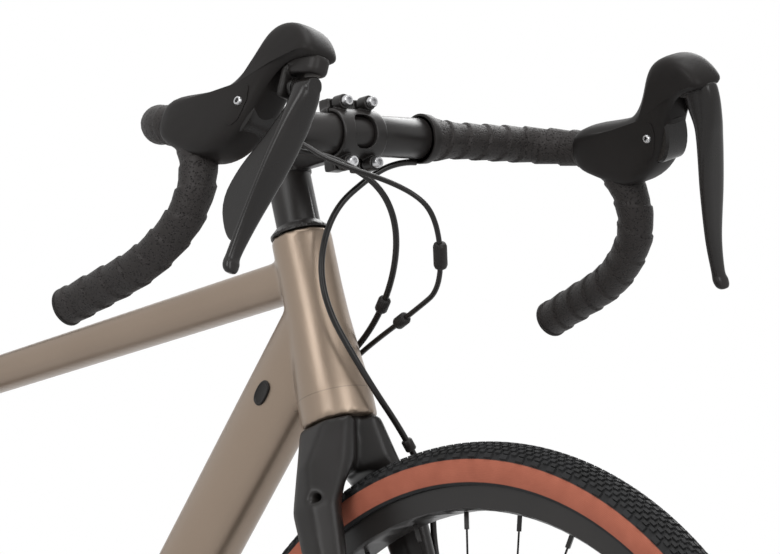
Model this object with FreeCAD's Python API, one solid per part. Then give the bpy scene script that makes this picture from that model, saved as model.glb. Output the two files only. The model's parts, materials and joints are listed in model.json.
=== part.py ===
import FreeCAD
import Part
import math
import os

# Gravel bike, in millimetres. +X is forward, +Y is the rider's left, +Z is up.
# The origin is on the ground, halfway between the two wheel axles.

# Clearances and cuts shared by all pieces
running_gap = 0.05
body_gap = 0.4
cut_overrun = 5.0

# Wheels and tyres
wheelbase = 1030.0
tyre_radius = 350.0
tyre_half_width = 20.0
tyre_wall = 2.6
tyre_outer_shares = [-1.0, -0.66, -0.33, 0.0, 0.33, 0.66, 1.0]
tyre_inner_shares = [1.0, 0.45, -0.45, -1.0]
tyre_height = 39.0
bead_seat_radius = tyre_radius - tyre_height
rim_flange_height = 6.5
rim_half_width = 14.0
rim_flange_thickness = 2.4
rim_depth = 18.5
rim_wall = 1.8
rim_bed_share = 0.8
spoke_count = 32
spoke_radius = 1.0
spoke_sweep_share = 0.18
spoke_bite_share = 0.6
nipple_radius = 2.4
nipple_length = 13.0
nipple_gap = 0.4
valve_radius = 3.0
valve_length = 36.0

# Hubs, axles and rotors
axle_radius = 6.0
front_hub_half = 50.0
rear_hub_half = 71.0
freehub_length = 42.0
hub_shell_radius = 14.0
hub_flange_radius = 24.0
hub_flange_thickness = 3.0
hub_spoke_circle = 20.5
hub_cap_radius = 9.5
hub_cap_width = 5.0
front_flange_left = 24.0
front_flange_right = 33.0
rear_flange_left = 36.0
rear_flange_right = 19.0
front_rotor_y = 39.0
rear_rotor_y = 56.0
rotor_radius = 80.0
rotor_thickness = 1.8
rotor_track = 14.0
rotor_arm_count = 6
rotor_arm_width = 7.0
rotor_carrier_radius = 24.0
rotor_carrier_bore = 16.0
axle_head_radius = 9.0
axle_head_length = 5.0

# Frame layout
bottom_bracket_drop = 72.0
stay_tyre_room = 80.0
chainstay_length = tyre_radius + stay_tyre_room
seat_angle = 74.0
seat_tube_length = 506.0
head_angle = 71.4
fork_tyre_room = 50.0
fork_length = tyre_radius + fork_tyre_room
fork_offset = 50.0
head_tube_length = 153.0
headset_gap = 1.0

# Head tube
head_top_radius = 23.6
head_bottom_radius = 29.6
head_ring_height = 22.0
head_taper_height = 80.0
head_top_land = 20.0

# Top tube and down tube: eight-sided sections with a crease along each side
top_tube_meet = 120.0
top_tube_seat_drop = 42.5
top_tube_head_height = 33.0
top_tube_head_width = 38.0
top_tube_seat_height = 28.0
top_tube_seat_width = 33.0
top_tube_corner = 5.0
top_tube_shares = [(-0.34, 0.5), (0.34, 0.5), (0.5, 0.3), (0.5, -0.14),
                   (0.26, -0.5), (-0.26, -0.5), (-0.5, -0.14), (-0.5, 0.3)]
down_tube_meet = 78.0
down_tube_head_height = 64.0
down_tube_head_width = 46.0
down_tube_shell_height = 44.0
down_tube_shell_width = 56.0
down_tube_corner = 8.0
down_tube_shares = [(-0.3, 0.5), (0.3, 0.5), (0.5, 0.22), (0.5, -0.14),
                    (0.3, -0.5), (-0.3, -0.5), (-0.5, -0.14), (-0.5, 0.22)]

# Seat tube and bottom bracket shell
seat_tube_radius = 17.2
seat_bore_depth = 210.0
seat_slot_width = 2.6
seat_slot_length = 34.0
shell_half_width = 34.0
shell_radius = 22.5
shell_bore = 17.4

# Chainstays and seatstays
stay_corner_share = 0.4
chainstay_root_y = 25.0
chainstay_root_back = 14.0
chainstay_root_width = 15.0
chainstay_root_height = 32.0
chainstay_mid_share = 0.45
chainstay_mid_y = 43.0
chainstay_bow_share = 0.8
chainstay_bow_y = 66.5
chainstay_width = 14.0
chainstay_height = 22.0
chainstay_tip_width = 11.0
chainstay_tip_height = 17.0
seatstay_root_drop = 60.0
seatstay_root_y = 14.0
seatstay_bow_share = 0.24
seatstay_bow_y = 36.0
seatstay_width = 12.0
seatstay_depth = 17.0
seatstay_tip_width = 10.0
seatstay_tip_depth = 14.0

# Rear dropouts and derailleur hanger
dropout_thickness = 8.0
dropout_reach = 36.0
dropout_corner = 4.0
dropout_shares = [(1.0, -0.42), (1.0, 0.1), (0.5, 0.34), (0.66, 0.95), (0.2, 1.05),
                  (-0.25, 0.46), (-0.5, 0.0), (-0.3, -0.46), (0.2, -0.54)]
chainstay_tip_ahead = 33.0
chainstay_tip_drop = 6.0
seatstay_tip_ahead = 15.0
seatstay_tip_rise = 33.0
hanger_drop = 29.0
hanger_back = 8.0
hanger_thickness = 6.0
hanger_eye_radius = 9.5
hanger_bolt_radius = 5.0
eyelet_radius = 2.5
eyelet_ahead = 12.0
eyelet_rise = 16.0

# Cable ports, threaded bottle holes and seat clamp
port_along = 585.0
port_length = 22.0
port_width = 12.0
port_stand = 1.4
port_depth = 3.0
boss_bore = 2.5
boss_depth = 9.0
boss_spacing = 64.0
down_boss_along = 230.0
seat_boss_along = 170.0
seat_clamp_height = 15.0
seat_clamp_wall = 4.5
seat_clamp_drop = 2.0
seat_clamp_lug = 9.0

# Fork
fork_half_width = 62.0
fork_depth = 56.0
fork_leg_shares = [(0.0, -0.06, 0.47, 1.0, 0.0), (0.085, -0.06, 0.77, 0.96, 0.0), (0.17, 0.42, 0.92, 0.84, 0.02),
                   (0.3, 0.52, 0.94, 0.71, 0.05), (0.58, 0.68, 0.97, 0.55, 0.22), (0.84, 0.77, 1.0, 0.45, 0.66),
                   (0.97, 0.81, 1.0, 0.41, 0.93)]
fork_eye_radius = 13.5
fork_arch_gap = 9.0
fork_arch_half_width = 27.5
fork_arch_corner = 15.0
fork_port_radius = 4.0
fork_port_drop = 62.0
fork_port_ahead = 12.0
steerer_radius = 14.3
steerer_base_radius = 19.0
steerer_base_height = 15.0
steerer_taper_height = 46.0
steerer_bore = 12.0
steerer_floor = 20.0
steerer_top_gap = 3.0

# Headset cover, spacers and stem
cover_radius = 23.4
cover_rim = 2.0
cover_height = 8.0
spacer_radius = 17.2
spacer_height = 13.0
spacer_count = 3
stem_clamp_height = 40.0
stem_clamp_radius = 18.6
stem_neck_width = 33.0
stem_neck_height = 33.0
stem_neck_corner = 11.0
bar_from_crown = 207.5
bar_ahead = 78.9
bar_clamp_radius = 20.5
bar_clamp_half_width = 22.0
faceplate_gap = 1.6
faceplate_lug_rise = 28.0
faceplate_lug_depth = 12.0
faceplate_lug_width = 14.0
faceplate_window_width = 24.0
faceplate_window_height = 27.0
faceplate_bolt_y = 12.5
faceplate_bolt_rise = 23.5
top_cap_height = 5.0
top_cap_radius = 17.0
pinch_lug_back = 17.0
pinch_lug_depth = 8.0

# Handlebar, tape and end plugs
bar_centre_radius = 15.9
bar_grip_radius = 11.9
bar_side_count = 10
bar_centre_half = 74.0
bar_taper_end = 104.0
bar_half_width = 205.0
bar_corner_radius = 40.0
bar_flare_angle = 16.0
hook_front = 133.5
hook_front_drop = 12.8
hook_front_radius = 49.0
hook_bend = 54.3
hook_bend_drop = 107.2
hook_bend_radius = 112.0
hook_end_back = 33.0
hook_end_drop = 141.0
tape_thickness = 3.0
tape_start = 70.0
plug_flange = 3.0

# Lever hoods, set out forward of and above the bar's centre line in its flared plane
lever_reach = 198.0
horn_rise = 68.5
hood_half_width = 18.0
hood_edge = 6.0
hood_shares = [(0.2, 0.22), (0.38, 0.24), (0.545, 0.28), (0.61, 0.38), (0.66, 0.555), (0.7, 0.8), (0.75, 0.95),
               (0.83, 1.0), (0.92, 0.92), (0.98, 0.73), (1.0, 0.555), (0.885, 0.555), (0.81, 0.44), (0.74, 0.12),
               (0.71, -0.12), (0.645, -0.32), (0.555, -0.47), (0.43, -0.5), (0.28, -0.34), (0.2, -0.26)]
hood_layer_shares = [(-1.0, 1.0), (-0.72, 0.35), (-0.4, 0.0), (0.4, 0.0), (0.72, 0.35), (1.0, 1.0)]

# Brake levers and the shift paddle
lever_pivot_ahead = 171.0
lever_pivot_rise = 42.0
lever_pin_radius = 2.5
lever_head_radius = 8.0
lever_half_width = 10.0
lever_roof_front = 197.0
lever_roof_rise = 35.0
lever_roof_thickness = 5.0
lever_wall_back = 162.0
lever_wall_thickness = 6.0
lever_wall_foot = 11.0
hollow_back = 152.0
hollow_foot = 17.0
hollow_front = 189.0
swing_pin_rise = 20.0
swing_pin_end = 193.0
swing_hub_radius = 7.0
paddle_hub_width = 5.0
blade_drop = 121.0
blade_width = 22.0
blade_depth = 15.0
blade_outset = 8.5
blade_corner_share = 0.4
blade_shares = [(0.945, 0.12, 0.0, 0.9, 0.9), (0.914, -0.083, 0.0, 0.95, 0.85), (0.866, -0.37, 0.24, 0.91, 0.72),
                (0.803, -0.7, 0.6, 0.73, 0.66), (0.788, -0.926, 0.95, 0.6, 0.66), (0.798, -1.0, 1.0, 0.42, 0.46)]
paddle_thickness = 2.6
paddle_corner = 1.5
paddle_shares = [(0.853, 0.165), (0.8735, 0.165), (0.868, 0.02), (0.84, -0.12), (0.808, -0.37), (0.75, -0.7),
                 (0.72, -0.8), (0.655, -0.73), (0.595, -0.53), (0.645, -0.33), (0.75, -0.14), (0.82, 0.02),
                 (0.851, 0.07)]

# Seatpost, rails and saddle
post_radius = 13.6
post_insert = 110.0
post_exposed = 144.0
post_head_radius = 13.0
post_head_half = 17.0
clamp_half_length = 19.0
clamp_half_width = 28.0
clamp_thickness = 6.0
saddle_length = 268.0
saddle_width = 142.0
saddle_height = 44.0
saddle_above_rail = 22.0
saddle_nose_ahead = 150.0
saddle_corner_share = 0.2
saddle_section_shares = [(-0.5, -0.08), (-0.44, 0.3), (-0.2, 0.5), (0.2, 0.5), (0.44, 0.3), (0.5, -0.08),
                         (0.4, -0.5), (-0.4, -0.5)]
saddle_station_shares = [(0.0, 0.7, 0.66), (0.08, 0.96, 0.86), (0.22, 1.0, 1.0), (0.42, 0.7, 0.88),
                         (0.6, 0.42, 0.78), (0.82, 0.3, 0.72), (0.95, 0.27, 0.66), (1.0, 0.18, 0.5)]
saddle_shell_thickness = 4.0
saddle_shell_share = 0.86
rail_radius = 3.5
rail_side_count = 8
rail_half_gap = 22.0
rail_flat_half = 38.0
rail_nose_y = 9.0
rail_nose_ahead = 112.0
rail_tail_y = 34.0
rail_tail_back = 88.0

# Chain, chainring, sprockets and pulleys
chain_pitch = 12.7
roller_radius = 3.83
tooth_relief = 0.12
tooth_root_share = 0.197
tooth_height_share = 0.2
chainring_tooth_count = 40
chain_line = 47.5
ring_thickness = 1.9
ring_inner_radius = 62.0
ring_tab_radius = 9.0
ring_bolt_circle = 55.0
spider_arm_count = 4
sprocket_tooth_counts = [11, 13, 15, 18, 21, 24, 28, 34, 42]
engaged_sprocket_index = 4
sprocket_pitch = 4.34
sprocket_thickness = 1.6
sprocket_bore = 17.0
sprocket_spline_count = 12
lockring_width = 2.0
pulley_tooth_count = 11
pulley_thickness = 2.0
pulley_pin_radius = 3.0
plate_thickness = 0.85
plate_half_height = 4.15
chain_inner_half = 1.12

# Cranks, bottom bracket cups and pedals
crank_length = 172.5
crank_axle_radius = 12.0
crank_boss_radius = 20.0
crank_boss_width = 22.0
crank_eye_radius = 14.0
crank_thickness = 13.5
crank_face_y = 75.5
crank_waist = 24.0
spider_arm_width = 17.0
spider_thickness = 4.0
cup_flange_radius = 22.0
cup_flange_width = 9.0
cup_depth = 14.0
pedal_spindle_radius = 4.5
pedal_spindle_length = 92.0
pedal_clearance = 3.0
pedal_length = 92.0
pedal_width = 88.0
pedal_height = 15.0
pedal_rail = 10.0
pedal_core_radius = 9.0

# Rear derailleur: a parallelogram whose links swing inward and down along the sprockets
guide_pulley_ahead = 6.0
guide_pulley_drop = 101.0
cage_length = 92.0
cage_lean_angle = 24.0
cage_plate_thickness = 2.0
cage_plate_gap = 3.6
cage_half_width = 8.5
cage_spigot_radius = 6.0
cage_spigot_length = 9.0
link_length = 42.0
link_tilt_angle = 40.8
link_half_gap = 8.0
link_thickness = 4.0
link_half_width = 11.0
link_end_radius = 5.5
link_pin_radius = 2.5
knuckle_y = 85.0
knuckle_ear = 3.4
knuckle_web = 8.0
knuckle_web_gap = 8.2
knuckle_elbow_rise = 42.0
knuckle_boss_radius = 11.0
knuckle_boss_length = 13.0

# Disc brake calipers and pads
caliper_length = 50.0
caliper_depth = 30.0
caliper_half_width = 14.0
caliper_slot_half = 3.6
caliper_corner = 6.0
caliper_radius = 77.0
front_caliper_angle = 44.0
rear_caliper_angle = 27.0
caliper_foot_length = 34.0
caliper_foot_width = 12.0
caliper_foot_gap = 2.0
front_foot_reach = 44.0
rear_foot_reach = 50.0
pad_thickness = 2.0
pad_rest_gap = 0.5
pad_half_length = 13.0
pad_half_depth = 10.0

# Brake hoses and shift housing; each route is a list of steps from the bar's middle or the rear axle
hose_radius = 2.5
housing_radius = 2.1
bead_radius = 5.0
bead_length = 13.0
bead_share = 0.5
shift_bead_share = 0.27
clip_leg_shares = [(5, 0.86), (8, 0.5)]
hose_bead_leg_index = 5
barrel_leg_index = 4
shift_bead_leg_index = 6
barrel_radius = 5.4
barrel_length = 22.0
clip_radius = 4.6
clip_length = 10.0
bend_step_angle = 24.0
bend_share = 0.4
hose_side_count = 6
front_hose_route = [(-3.9, 69.9, -18.1), (-3.9, 56, -18.1), (-10.6, 34, -27), (-18.6, -6, -60),
                    (-4.6, -28, -120), (21.4, -2, -184), (23.4, 40, -232), (32.4, 58, -274),
                    (32.4, 61.3, -324), (67.4, 63.2, -423), (55.9, 64.5, -476.5), (50.4, 52, -519),
                    (83.7, 45, -539.7)]
rear_hose_route = [(11.3, -69.9, -14.7), (11.3, -62, -14.7), (33.4, -45, -20), (52.4, -16, -39),
                   (50.4, 5, -70), (24.4, 24, -110), (-11.6, 33.5, -149), (-49.6, 33, -177),
                   (-77.1, 24, -195.5)]
shift_route = [(16.2, -69.9, -8.2), (16.2, -64, -8.2), (42.4, -56, -24), (90.4, -18, -44), (97.4, 4, -66),
               (76.4, 27, -117), (42.4, 32, -133), (-27.6, 37, -165), (-46.6, 35, -181), (-72.1, 24, -200)]
rear_caliper_route = [(147, 61, -19), (131, 59, 50), (107, 57, 54.5), (82, 57, 41.8)]
derailleur_route = [(63, -71, -20), (45, -84, -38), (0, -99, -50), (-60, -102, -58), (-83, -92, -88),
                    (-75, -85, -101), (-51, -85, -101)]


def vec(x, y, z):
    return FreeCAD.Vector(x, y, z)


def unit(v):
    return v * (1 / v.Length)


across = vec(0, 1, 0)
ahead = vec(1, 0, 0)
upward = vec(0, 0, 1)
both_sides = (1, -1)
box_shares = [(-0.5, 0.5), (0.5, 0.5), (0.5, -0.5), (-0.5, -0.5)]

# Points and directions that the pieces share
rear_axle = vec(-wheelbase / 2, 0, tyre_radius)
front_axle = vec(wheelbase / 2, 0, tyre_radius)
bottom_bracket = rear_axle + vec(math.sqrt(chainstay_length**2 - bottom_bracket_drop**2), 0, -bottom_bracket_drop)
steer_up = vec(-math.cos(math.radians(head_angle)), 0, math.sin(math.radians(head_angle)))
steer_ahead = vec(math.sin(math.radians(head_angle)), 0, math.cos(math.radians(head_angle)))
fork_height = math.sqrt(fork_length**2 - fork_offset**2)
crown = front_axle - steer_ahead * fork_offset + steer_up * fork_height
seat_up = vec(-math.cos(math.radians(seat_angle)), 0, math.sin(math.radians(seat_angle)))
seat_back = vec(-seat_up.z, 0, seat_up.x)
head_top = headset_gap + head_tube_length
stem_base = head_top + body_gap + cover_height + spacer_height * spacer_count
stem_top = stem_base + stem_clamp_height
bar_centre = crown + steer_up * bar_from_crown + steer_ahead * bar_ahead
stem_foot = crown + steer_up * (stem_base + stem_clamp_height / 2)
stem_ahead = unit(bar_centre - stem_foot)
stem_rise = vec(-stem_ahead.z, 0, stem_ahead.x)

nodes = {}


def keep(name, *shapes):
    nodes.setdefault(name, []).extend(shapes)


def mirrored(shape):
    return shape.mirror(vec(0, 0, 0), across)


def steer_point(along, forward=0.0, side=0.0):
    return crown + steer_up * along + steer_ahead * forward + across * side


def corner_arc(before, corner, after, radius):
    """Start and end of the arc that rounds one corner."""
    back = unit(before - corner)
    on = unit(after - corner)
    reach = radius / math.tan(back.getAngle(on) / 2)
    return corner + back * reach, corner + on * reach


def eased_loop(points, radius):
    """A closed wire through the points, with every corner cut off by a chord of its rounding."""
    count = len(points)
    eased = []
    for i in range(count):
        start, end = corner_arc(points[i - 1], points[i], points[(i + 1) % count], radius)
        eased += [start, end]
    return sharp_loop(eased)


def sharp_loop(points):
    return Part.makePolygon(list(points) + [points[0]])


def bent_path(points, radii):
    """Straight runs joined by tangent arcs, each arc as a few chords."""
    path = [points[0]]
    for i in range(1, len(points) - 1):
        start, end = corner_arc(points[i - 1], points[i], points[i + 1], radii[i - 1])
        back = unit(points[i - 1] - points[i])
        on = unit(points[i + 1] - points[i])
        half = back.getAngle(on) / 2
        centre = points[i] + unit(back + on) * (radii[i - 1] / math.sin(half))
        turn = math.pi - half * 2
        steps = math.ceil(turn / math.radians(bend_step_angle))
        for k in range(steps + 1):
            far = turn * k / steps
            path.append(centre + ((start - centre) * math.sin(turn - far) + (end - centre) * math.sin(far))
                        * (1 / math.sin(turn)))
    path.append(points[-1])
    return [path[0]] + [b for a, b in zip(path, path[1:]) if (b - a).Length > body_gap]


def easy_radii(points):
    """The largest bend that the two runs at each corner leave room for."""
    radii = []
    for i in range(1, len(points) - 1):
        back = points[i - 1] - points[i]
        on = points[i + 1] - points[i]
        turn = math.pi - back.getAngle(on)
        radii.append(bend_share * min(back.Length, on.Length) / math.tan(turn / 2))
    return radii


def many_sided(radius, sides, centre, along):
    """Corners of a regular outline round a direction."""
    side = unit(along.cross(ahead + upward))
    up = along.cross(side)
    turns = [2 * math.pi * i / sides for i in range(sides)]
    return [centre + side * (math.cos(a) * radius) + up * (math.sin(a) * radius) for a in turns]


def swept_bar(points, radii, radius, sides):
    """A many-sided bar along a bent path, mitred at every joint."""
    path = bent_path(points, radii)
    corners = many_sided(radius, sides, path[0], unit(path[1] - path[0]))
    wires = [sharp_loop(corners)]
    for i in range(1, len(path)):
        along = unit(path[i] - path[i - 1])
        face = unit(along + unit(path[i + 1] - path[i])) if i + 1 < len(path) else along
        corners = [p + along * ((path[i] - p).dot(face) / along.dot(face)) for p in corners]
        wires.append(sharp_loop(corners))
    return loft(wires)


def spun(profile, origin, axis, radial):
    """A solid of revolution from (radius, along) points."""
    points = [origin + axis * along + radial * radius for radius, along in profile]
    return Part.Face(sharp_loop(points)).revolve(origin, axis, 360)


def cylinder(radius, start, end):
    return Part.makeCylinder(radius, (end - start).Length, start, end - start)


def cone(radius_start, radius_end, start, end):
    return Part.makeCone(radius_start, radius_end, (end - start).Length, start, end - start)


def ring(outer, inner, start, end):
    over = unit(end - start) * cut_overrun
    return cylinder(outer, start, end).cut(cylinder(inner, start - over, end + over))


def prism(points, thickness):
    """A flat solid with sharp corners; thickness is a vector."""
    return Part.Face(sharp_loop(points)).extrude(thickness)


def plate(points, radius, thickness):
    """A flat solid with eased corners; thickness is a vector."""
    return Part.Face(eased_loop(points, radius)).extrude(thickness)


def block(centre, along, side, up, length, width, height):
    """A box about its centre, along three directions."""
    base = centre - up * (height / 2)
    corners = [base + along * (a * length) + side * (b * width) for a, b in box_shares]
    return prism(corners, up * height)


def section(centre, side, up, shares, width, height, corner):
    points = [centre + side * (a * width) + up * (b * height) for a, b in shares]
    return eased_loop(points, corner)


def oval(centre, side, up, width, height):
    return section(centre, side, up, box_shares, width, height, min(width, height) * stay_corner_share)


def loft(wires):
    return Part.makeLoft(wires, True, True)


def joined(first, *others):
    return first.fuse(list(others)).removeSplitter()


def round_point(centre, angle, radius):
    return centre + vec(math.cos(angle) * radius, 0, math.sin(angle) * radius)


# Wheels


def tyre(axle):
    """An open casing: a round outside and side walls that end in beads inside the rim flanges."""
    middle = tyre_radius - tyre_half_width
    bead_y = rim_half_width - rim_flange_thickness - running_gap
    bead_r = bead_seat_radius + running_gap
    lip_r = bead_seat_radius + rim_flange_height + running_gap
    outer_turn = math.acos((lip_r - middle) / tyre_half_width)
    inner_turn = math.pi - math.asin((bead_y - tyre_wall) / (tyre_half_width - tyre_wall))

    def wall(shares, radius, turn):
        return [(middle + radius * math.cos(turn * s), radius * math.sin(turn * s)) for s in shares]

    left = [(lip_r, bead_y), (bead_r, bead_y)]
    right = [(r, -y) for r, y in reversed(left)]
    outline = wall(tyre_outer_shares, tyre_half_width, outer_turn) + left
    outline += wall(tyre_inner_shares, tyre_half_width - tyre_wall, inner_turn) + right
    return spun(outline, axle, across, upward)


rim_flange_radius = bead_seat_radius + rim_flange_height
rim_bed_radius = rim_flange_radius - rim_depth


def rim(axle):
    """A box rim: two flanges, a bead channel between them and a flat spoke bed."""
    bead = rim_half_width - rim_flange_thickness
    bed = rim_half_width * rim_bed_share
    half = [(rim_flange_radius, rim_half_width), (rim_bed_radius + rim_wall, rim_half_width), (rim_bed_radius, bed)]
    outline = half + [(r, -y) for r, y in reversed(half)]
    outline += [(rim_flange_radius, -bead), (bead_seat_radius, -bead)]
    outline += [(bead_seat_radius, bead), (rim_flange_radius, bead)]
    return spun(outline, axle, across, upward)


def slim_bar(radius, sides, start, end):
    """A slim many-sided bar between two points."""
    return prism(many_sided(radius, sides, start, unit(end - start)), end - start)


def spokes(axle, flange_left, flange_right, shell):
    """Crossed square spokes, seated on the faces of both hub flanges, with nipples at the rim's spoke bed."""
    made = []
    for i in range(spoke_count):
        side = 1 if i % 2 else -1
        trailing = 1 if i // 2 % 2 else -1
        flange = (flange_left if side > 0 else flange_right) - hub_flange_thickness / 2
        rim_angle = 2 * math.pi * (i + 1 / 2) / spoke_count
        hub_angle = rim_angle + trailing * 2 * math.pi * spoke_sweep_share
        beside = hub_flange_thickness / 2 + spoke_radius * spoke_bite_share
        start = round_point(axle, hub_angle, hub_spoke_circle) + across * (side * (flange + trailing * beside))
        seat = round_point(axle, rim_angle, rim_bed_radius - nipple_gap)
        tip = seat + unit(start - seat) * nipple_length
        made.append(joined(slim_bar(spoke_radius, 4, start, tip), slim_bar(nipple_radius, 4, seat, tip)).cut(shell))
    return made


def hub(axle, left_end, right_end, flange_left, flange_right, rotor_y):
    """A flanged hub shell that runs on the axle, with a raised seat for the rotor."""
    waist = hub_shell_radius
    bore = axle_radius + running_gap
    seat = rotor_y + rotor_thickness / 2
    profile = [
        (bore, -right_end), (waist, -right_end), (waist, -flange_right), (hub_flange_radius, -flange_right),
        (hub_flange_radius, hub_flange_thickness - flange_right), (waist, hub_flange_thickness - flange_right),
        (waist, flange_left - hub_flange_thickness), (hub_flange_radius, flange_left - hub_flange_thickness),
        (hub_flange_radius, flange_left), (rotor_carrier_bore, flange_left), (rotor_carrier_bore, seat),
        (waist, seat), (waist, left_end), (bore, left_end),
    ]
    return spun(profile, axle, across, upward)


def through_axle(axle, hub_half, outside):
    """The axle with its head on the left, and the two end caps that it clamps."""
    cap = hub_half - hub_cap_width + body_gap
    profile = [
        (0, -outside), (axle_radius, -outside), (axle_radius, -hub_half), (hub_cap_radius, -hub_half),
        (hub_cap_radius, -cap), (axle_radius, -cap), (axle_radius, cap), (hub_cap_radius, cap),
        (hub_cap_radius, hub_half), (axle_radius, hub_half), (axle_radius, outside), (axle_head_radius, outside),
        (axle_head_radius, outside + axle_head_length), (0, outside + axle_head_length),
    ]
    return spun(profile, axle, across, upward)


def rotor(axle, side_y):
    """A brake track on swept arms, with its carrier."""
    centre = axle + across * side_y
    half = across * (rotor_thickness / 2)
    track_inner = rotor_radius - rotor_track
    track = ring(rotor_radius, track_inner, centre - half, centre + half)
    carrier = ring(rotor_carrier_radius, rotor_carrier_bore, centre - half, centre + half)
    arms = []
    for i in range(rotor_arm_count):
        angle = 2 * math.pi * i / rotor_arm_count
        start = round_point(centre, angle, rotor_carrier_radius - rotor_arm_width / 2)
        end = round_point(centre, angle + math.pi / rotor_arm_count, track_inner + rotor_arm_width / 2)
        along = unit(end - start)
        arms.append(block((start + end) / 2, along, along.cross(across), across,
                          (end - start).Length, rotor_arm_width, rotor_thickness))
    return joined(track, carrier, *arms)


def wheel(name, axle, left_end, right_end, flange_left, flange_right, rotor_y):
    foot = axle - upward * (bead_seat_radius + running_gap)
    head = foot + upward * valve_length
    valve = cylinder(valve_radius, foot, head)
    shell = hub(axle, left_end, right_end, flange_left, flange_right, rotor_y)
    keep(name + "_tyre", tyre(axle))
    keep(name + "_rim", rim(axle).cut(cylinder(valve_radius, foot - upward * cut_overrun, head)), valve)
    keep(name + "_hub_and_spokes", shell, *spokes(axle, flange_left, flange_right, shell))
    keep(name + "_rotor", rotor(axle, rotor_y))


# Frame


def head_outline():
    low = headset_gap
    return [(head_bottom_radius, low), (head_bottom_radius, low + head_ring_height),
            (head_top_radius, low + head_ring_height + head_taper_height), (head_top_radius, head_top)]


def head_envelope():
    return spun(head_outline() + [(0, head_top), (0, headset_gap)], crown, steer_up, steer_ahead)


def head_tube():
    """A tapered tube with a straight ring at the foot, and a land at each end for the steerer."""
    high = steerer_radius + running_gap
    low = steerer_base_radius + running_gap
    inside = [(high, head_top), (high, head_top - head_top_land), (low, head_top - head_top_land), (low, headset_gap)]
    return spun(head_outline() + inside, crown, steer_up, steer_ahead)


top_tube_head = steer_point(headset_gap + top_tube_meet)
seat_meet = bottom_bracket + seat_up * (seat_tube_length - top_tube_seat_drop)
top_tube_aim = unit(top_tube_head - seat_meet)
top_tube_rise = vec(-top_tube_aim.z, 0, top_tube_aim.x)
down_tube_head = steer_point(headset_gap + down_tube_meet)
down_tube_length = (down_tube_head - bottom_bracket).Length
down_tube_aim = unit(down_tube_head - bottom_bracket)
down_tube_rise = vec(-down_tube_aim.z, 0, down_tube_aim.x)


def seat_envelope():
    return cylinder(seat_tube_radius, bottom_bracket, bottom_bracket + seat_up * seat_tube_length)


def shell_envelope():
    return cylinder(shell_radius, bottom_bracket - across * shell_half_width, bottom_bracket + across * shell_half_width)


def top_tube():
    ends = [
        section(seat_meet, across, top_tube_rise, top_tube_shares, top_tube_seat_width, top_tube_seat_height,
                top_tube_corner),
        section(top_tube_head, across, top_tube_rise, top_tube_shares, top_tube_head_width, top_tube_head_height,
                top_tube_corner),
    ]
    return loft(ends).cut([head_envelope(), seat_envelope()])


def down_tube():
    ends = [
        section(bottom_bracket, across, down_tube_rise, down_tube_shares, down_tube_shell_width,
                down_tube_shell_height, down_tube_corner),
        section(down_tube_head, across, down_tube_rise, down_tube_shares, down_tube_head_width,
                down_tube_head_height, down_tube_corner),
    ]
    return loft(ends)


def down_tube_half_height(along):
    growth = down_tube_head_height - down_tube_shell_height
    return (down_tube_shell_height + growth * along / down_tube_length) / 2


def down_tube_half_width(along):
    growth = down_tube_head_width - down_tube_shell_width
    return (down_tube_shell_width + growth * along / down_tube_length) / 2


def seat_tube():
    """A round tube, bored for the seatpost and slit behind its top."""
    top = bottom_bracket + seat_up * seat_tube_length
    bore = cylinder(post_radius + running_gap, top - seat_up * seat_bore_depth, top + seat_up * cut_overrun)
    slit_centre = top + seat_back * seat_tube_radius - seat_up * (seat_slot_length / 2)
    slit = block(slit_centre, seat_back, across, seat_up, seat_tube_radius, seat_slot_width, seat_slot_length)
    return seat_envelope().cut([shell_envelope(), bore, slit])


def bottom_bracket_shell():
    return ring(shell_radius, shell_bore, bottom_bracket - across * shell_half_width,
                bottom_bracket + across * shell_half_width)


stay_tip_y = rear_hub_half


def chainstay():
    """The left chainstay: tall and narrow at the shell, bowed out round tyre and rotor."""
    root = bottom_bracket + vec(-chainstay_root_back, chainstay_root_y, 0)
    tip = rear_axle + vec(chainstay_tip_ahead, stay_tip_y, -chainstay_tip_drop)
    run = tip - root

    def at(share, side):
        return vec(root.x + run.x * share, side, root.z + run.z * share)

    return loft([
        oval(root, across, upward, chainstay_root_width, chainstay_root_height),
        oval(at(chainstay_mid_share, chainstay_mid_y), across, upward, chainstay_width, chainstay_height),
        oval(at(chainstay_bow_share, chainstay_bow_y), across, upward, chainstay_tip_width, chainstay_height),
        oval(tip, across, upward, chainstay_tip_width, chainstay_tip_height),
    ])


def seatstay():
    """The left seatstay: from the back of the seat tube, bowed out round the tyre."""
    root = bottom_bracket + seat_up * (seat_tube_length - seatstay_root_drop) + across * seatstay_root_y
    tip = rear_axle + vec(seatstay_tip_ahead, stay_tip_y, seatstay_tip_rise)
    run = tip - root
    along = unit(vec(run.x, 0, run.z))
    deep = vec(-along.z, 0, along.x)
    bow = vec(root.x + run.x * seatstay_bow_share, seatstay_bow_y, root.z + run.z * seatstay_bow_share)
    return loft([
        oval(root, across, deep, seatstay_width, seatstay_depth),
        oval(bow, across, deep, seatstay_width, seatstay_depth),
        oval(tip, across, deep, seatstay_tip_width, seatstay_tip_depth),
    ])


def dropout():
    """The left dropout plate, bored for the axle, with a threaded eyelet above it."""
    inner = rear_axle + across * rear_hub_half
    outline = [inner + ahead * (a * dropout_reach) + upward * (b * dropout_reach) for a, b in dropout_shares]
    body = plate(outline, dropout_corner, across * dropout_thickness)
    near = across * cut_overrun
    far = across * (dropout_thickness + cut_overrun)
    eyelet = inner + ahead * eyelet_ahead + upward * eyelet_rise
    bores = [cylinder(axle_radius, inner - near, inner + far), cylinder(eyelet_radius, eyelet - near, eyelet + far)]
    return body.cut(bores)


hanger_eye = rear_axle + vec(-hanger_back, -rear_hub_half - dropout_thickness, -hanger_drop)


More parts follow.
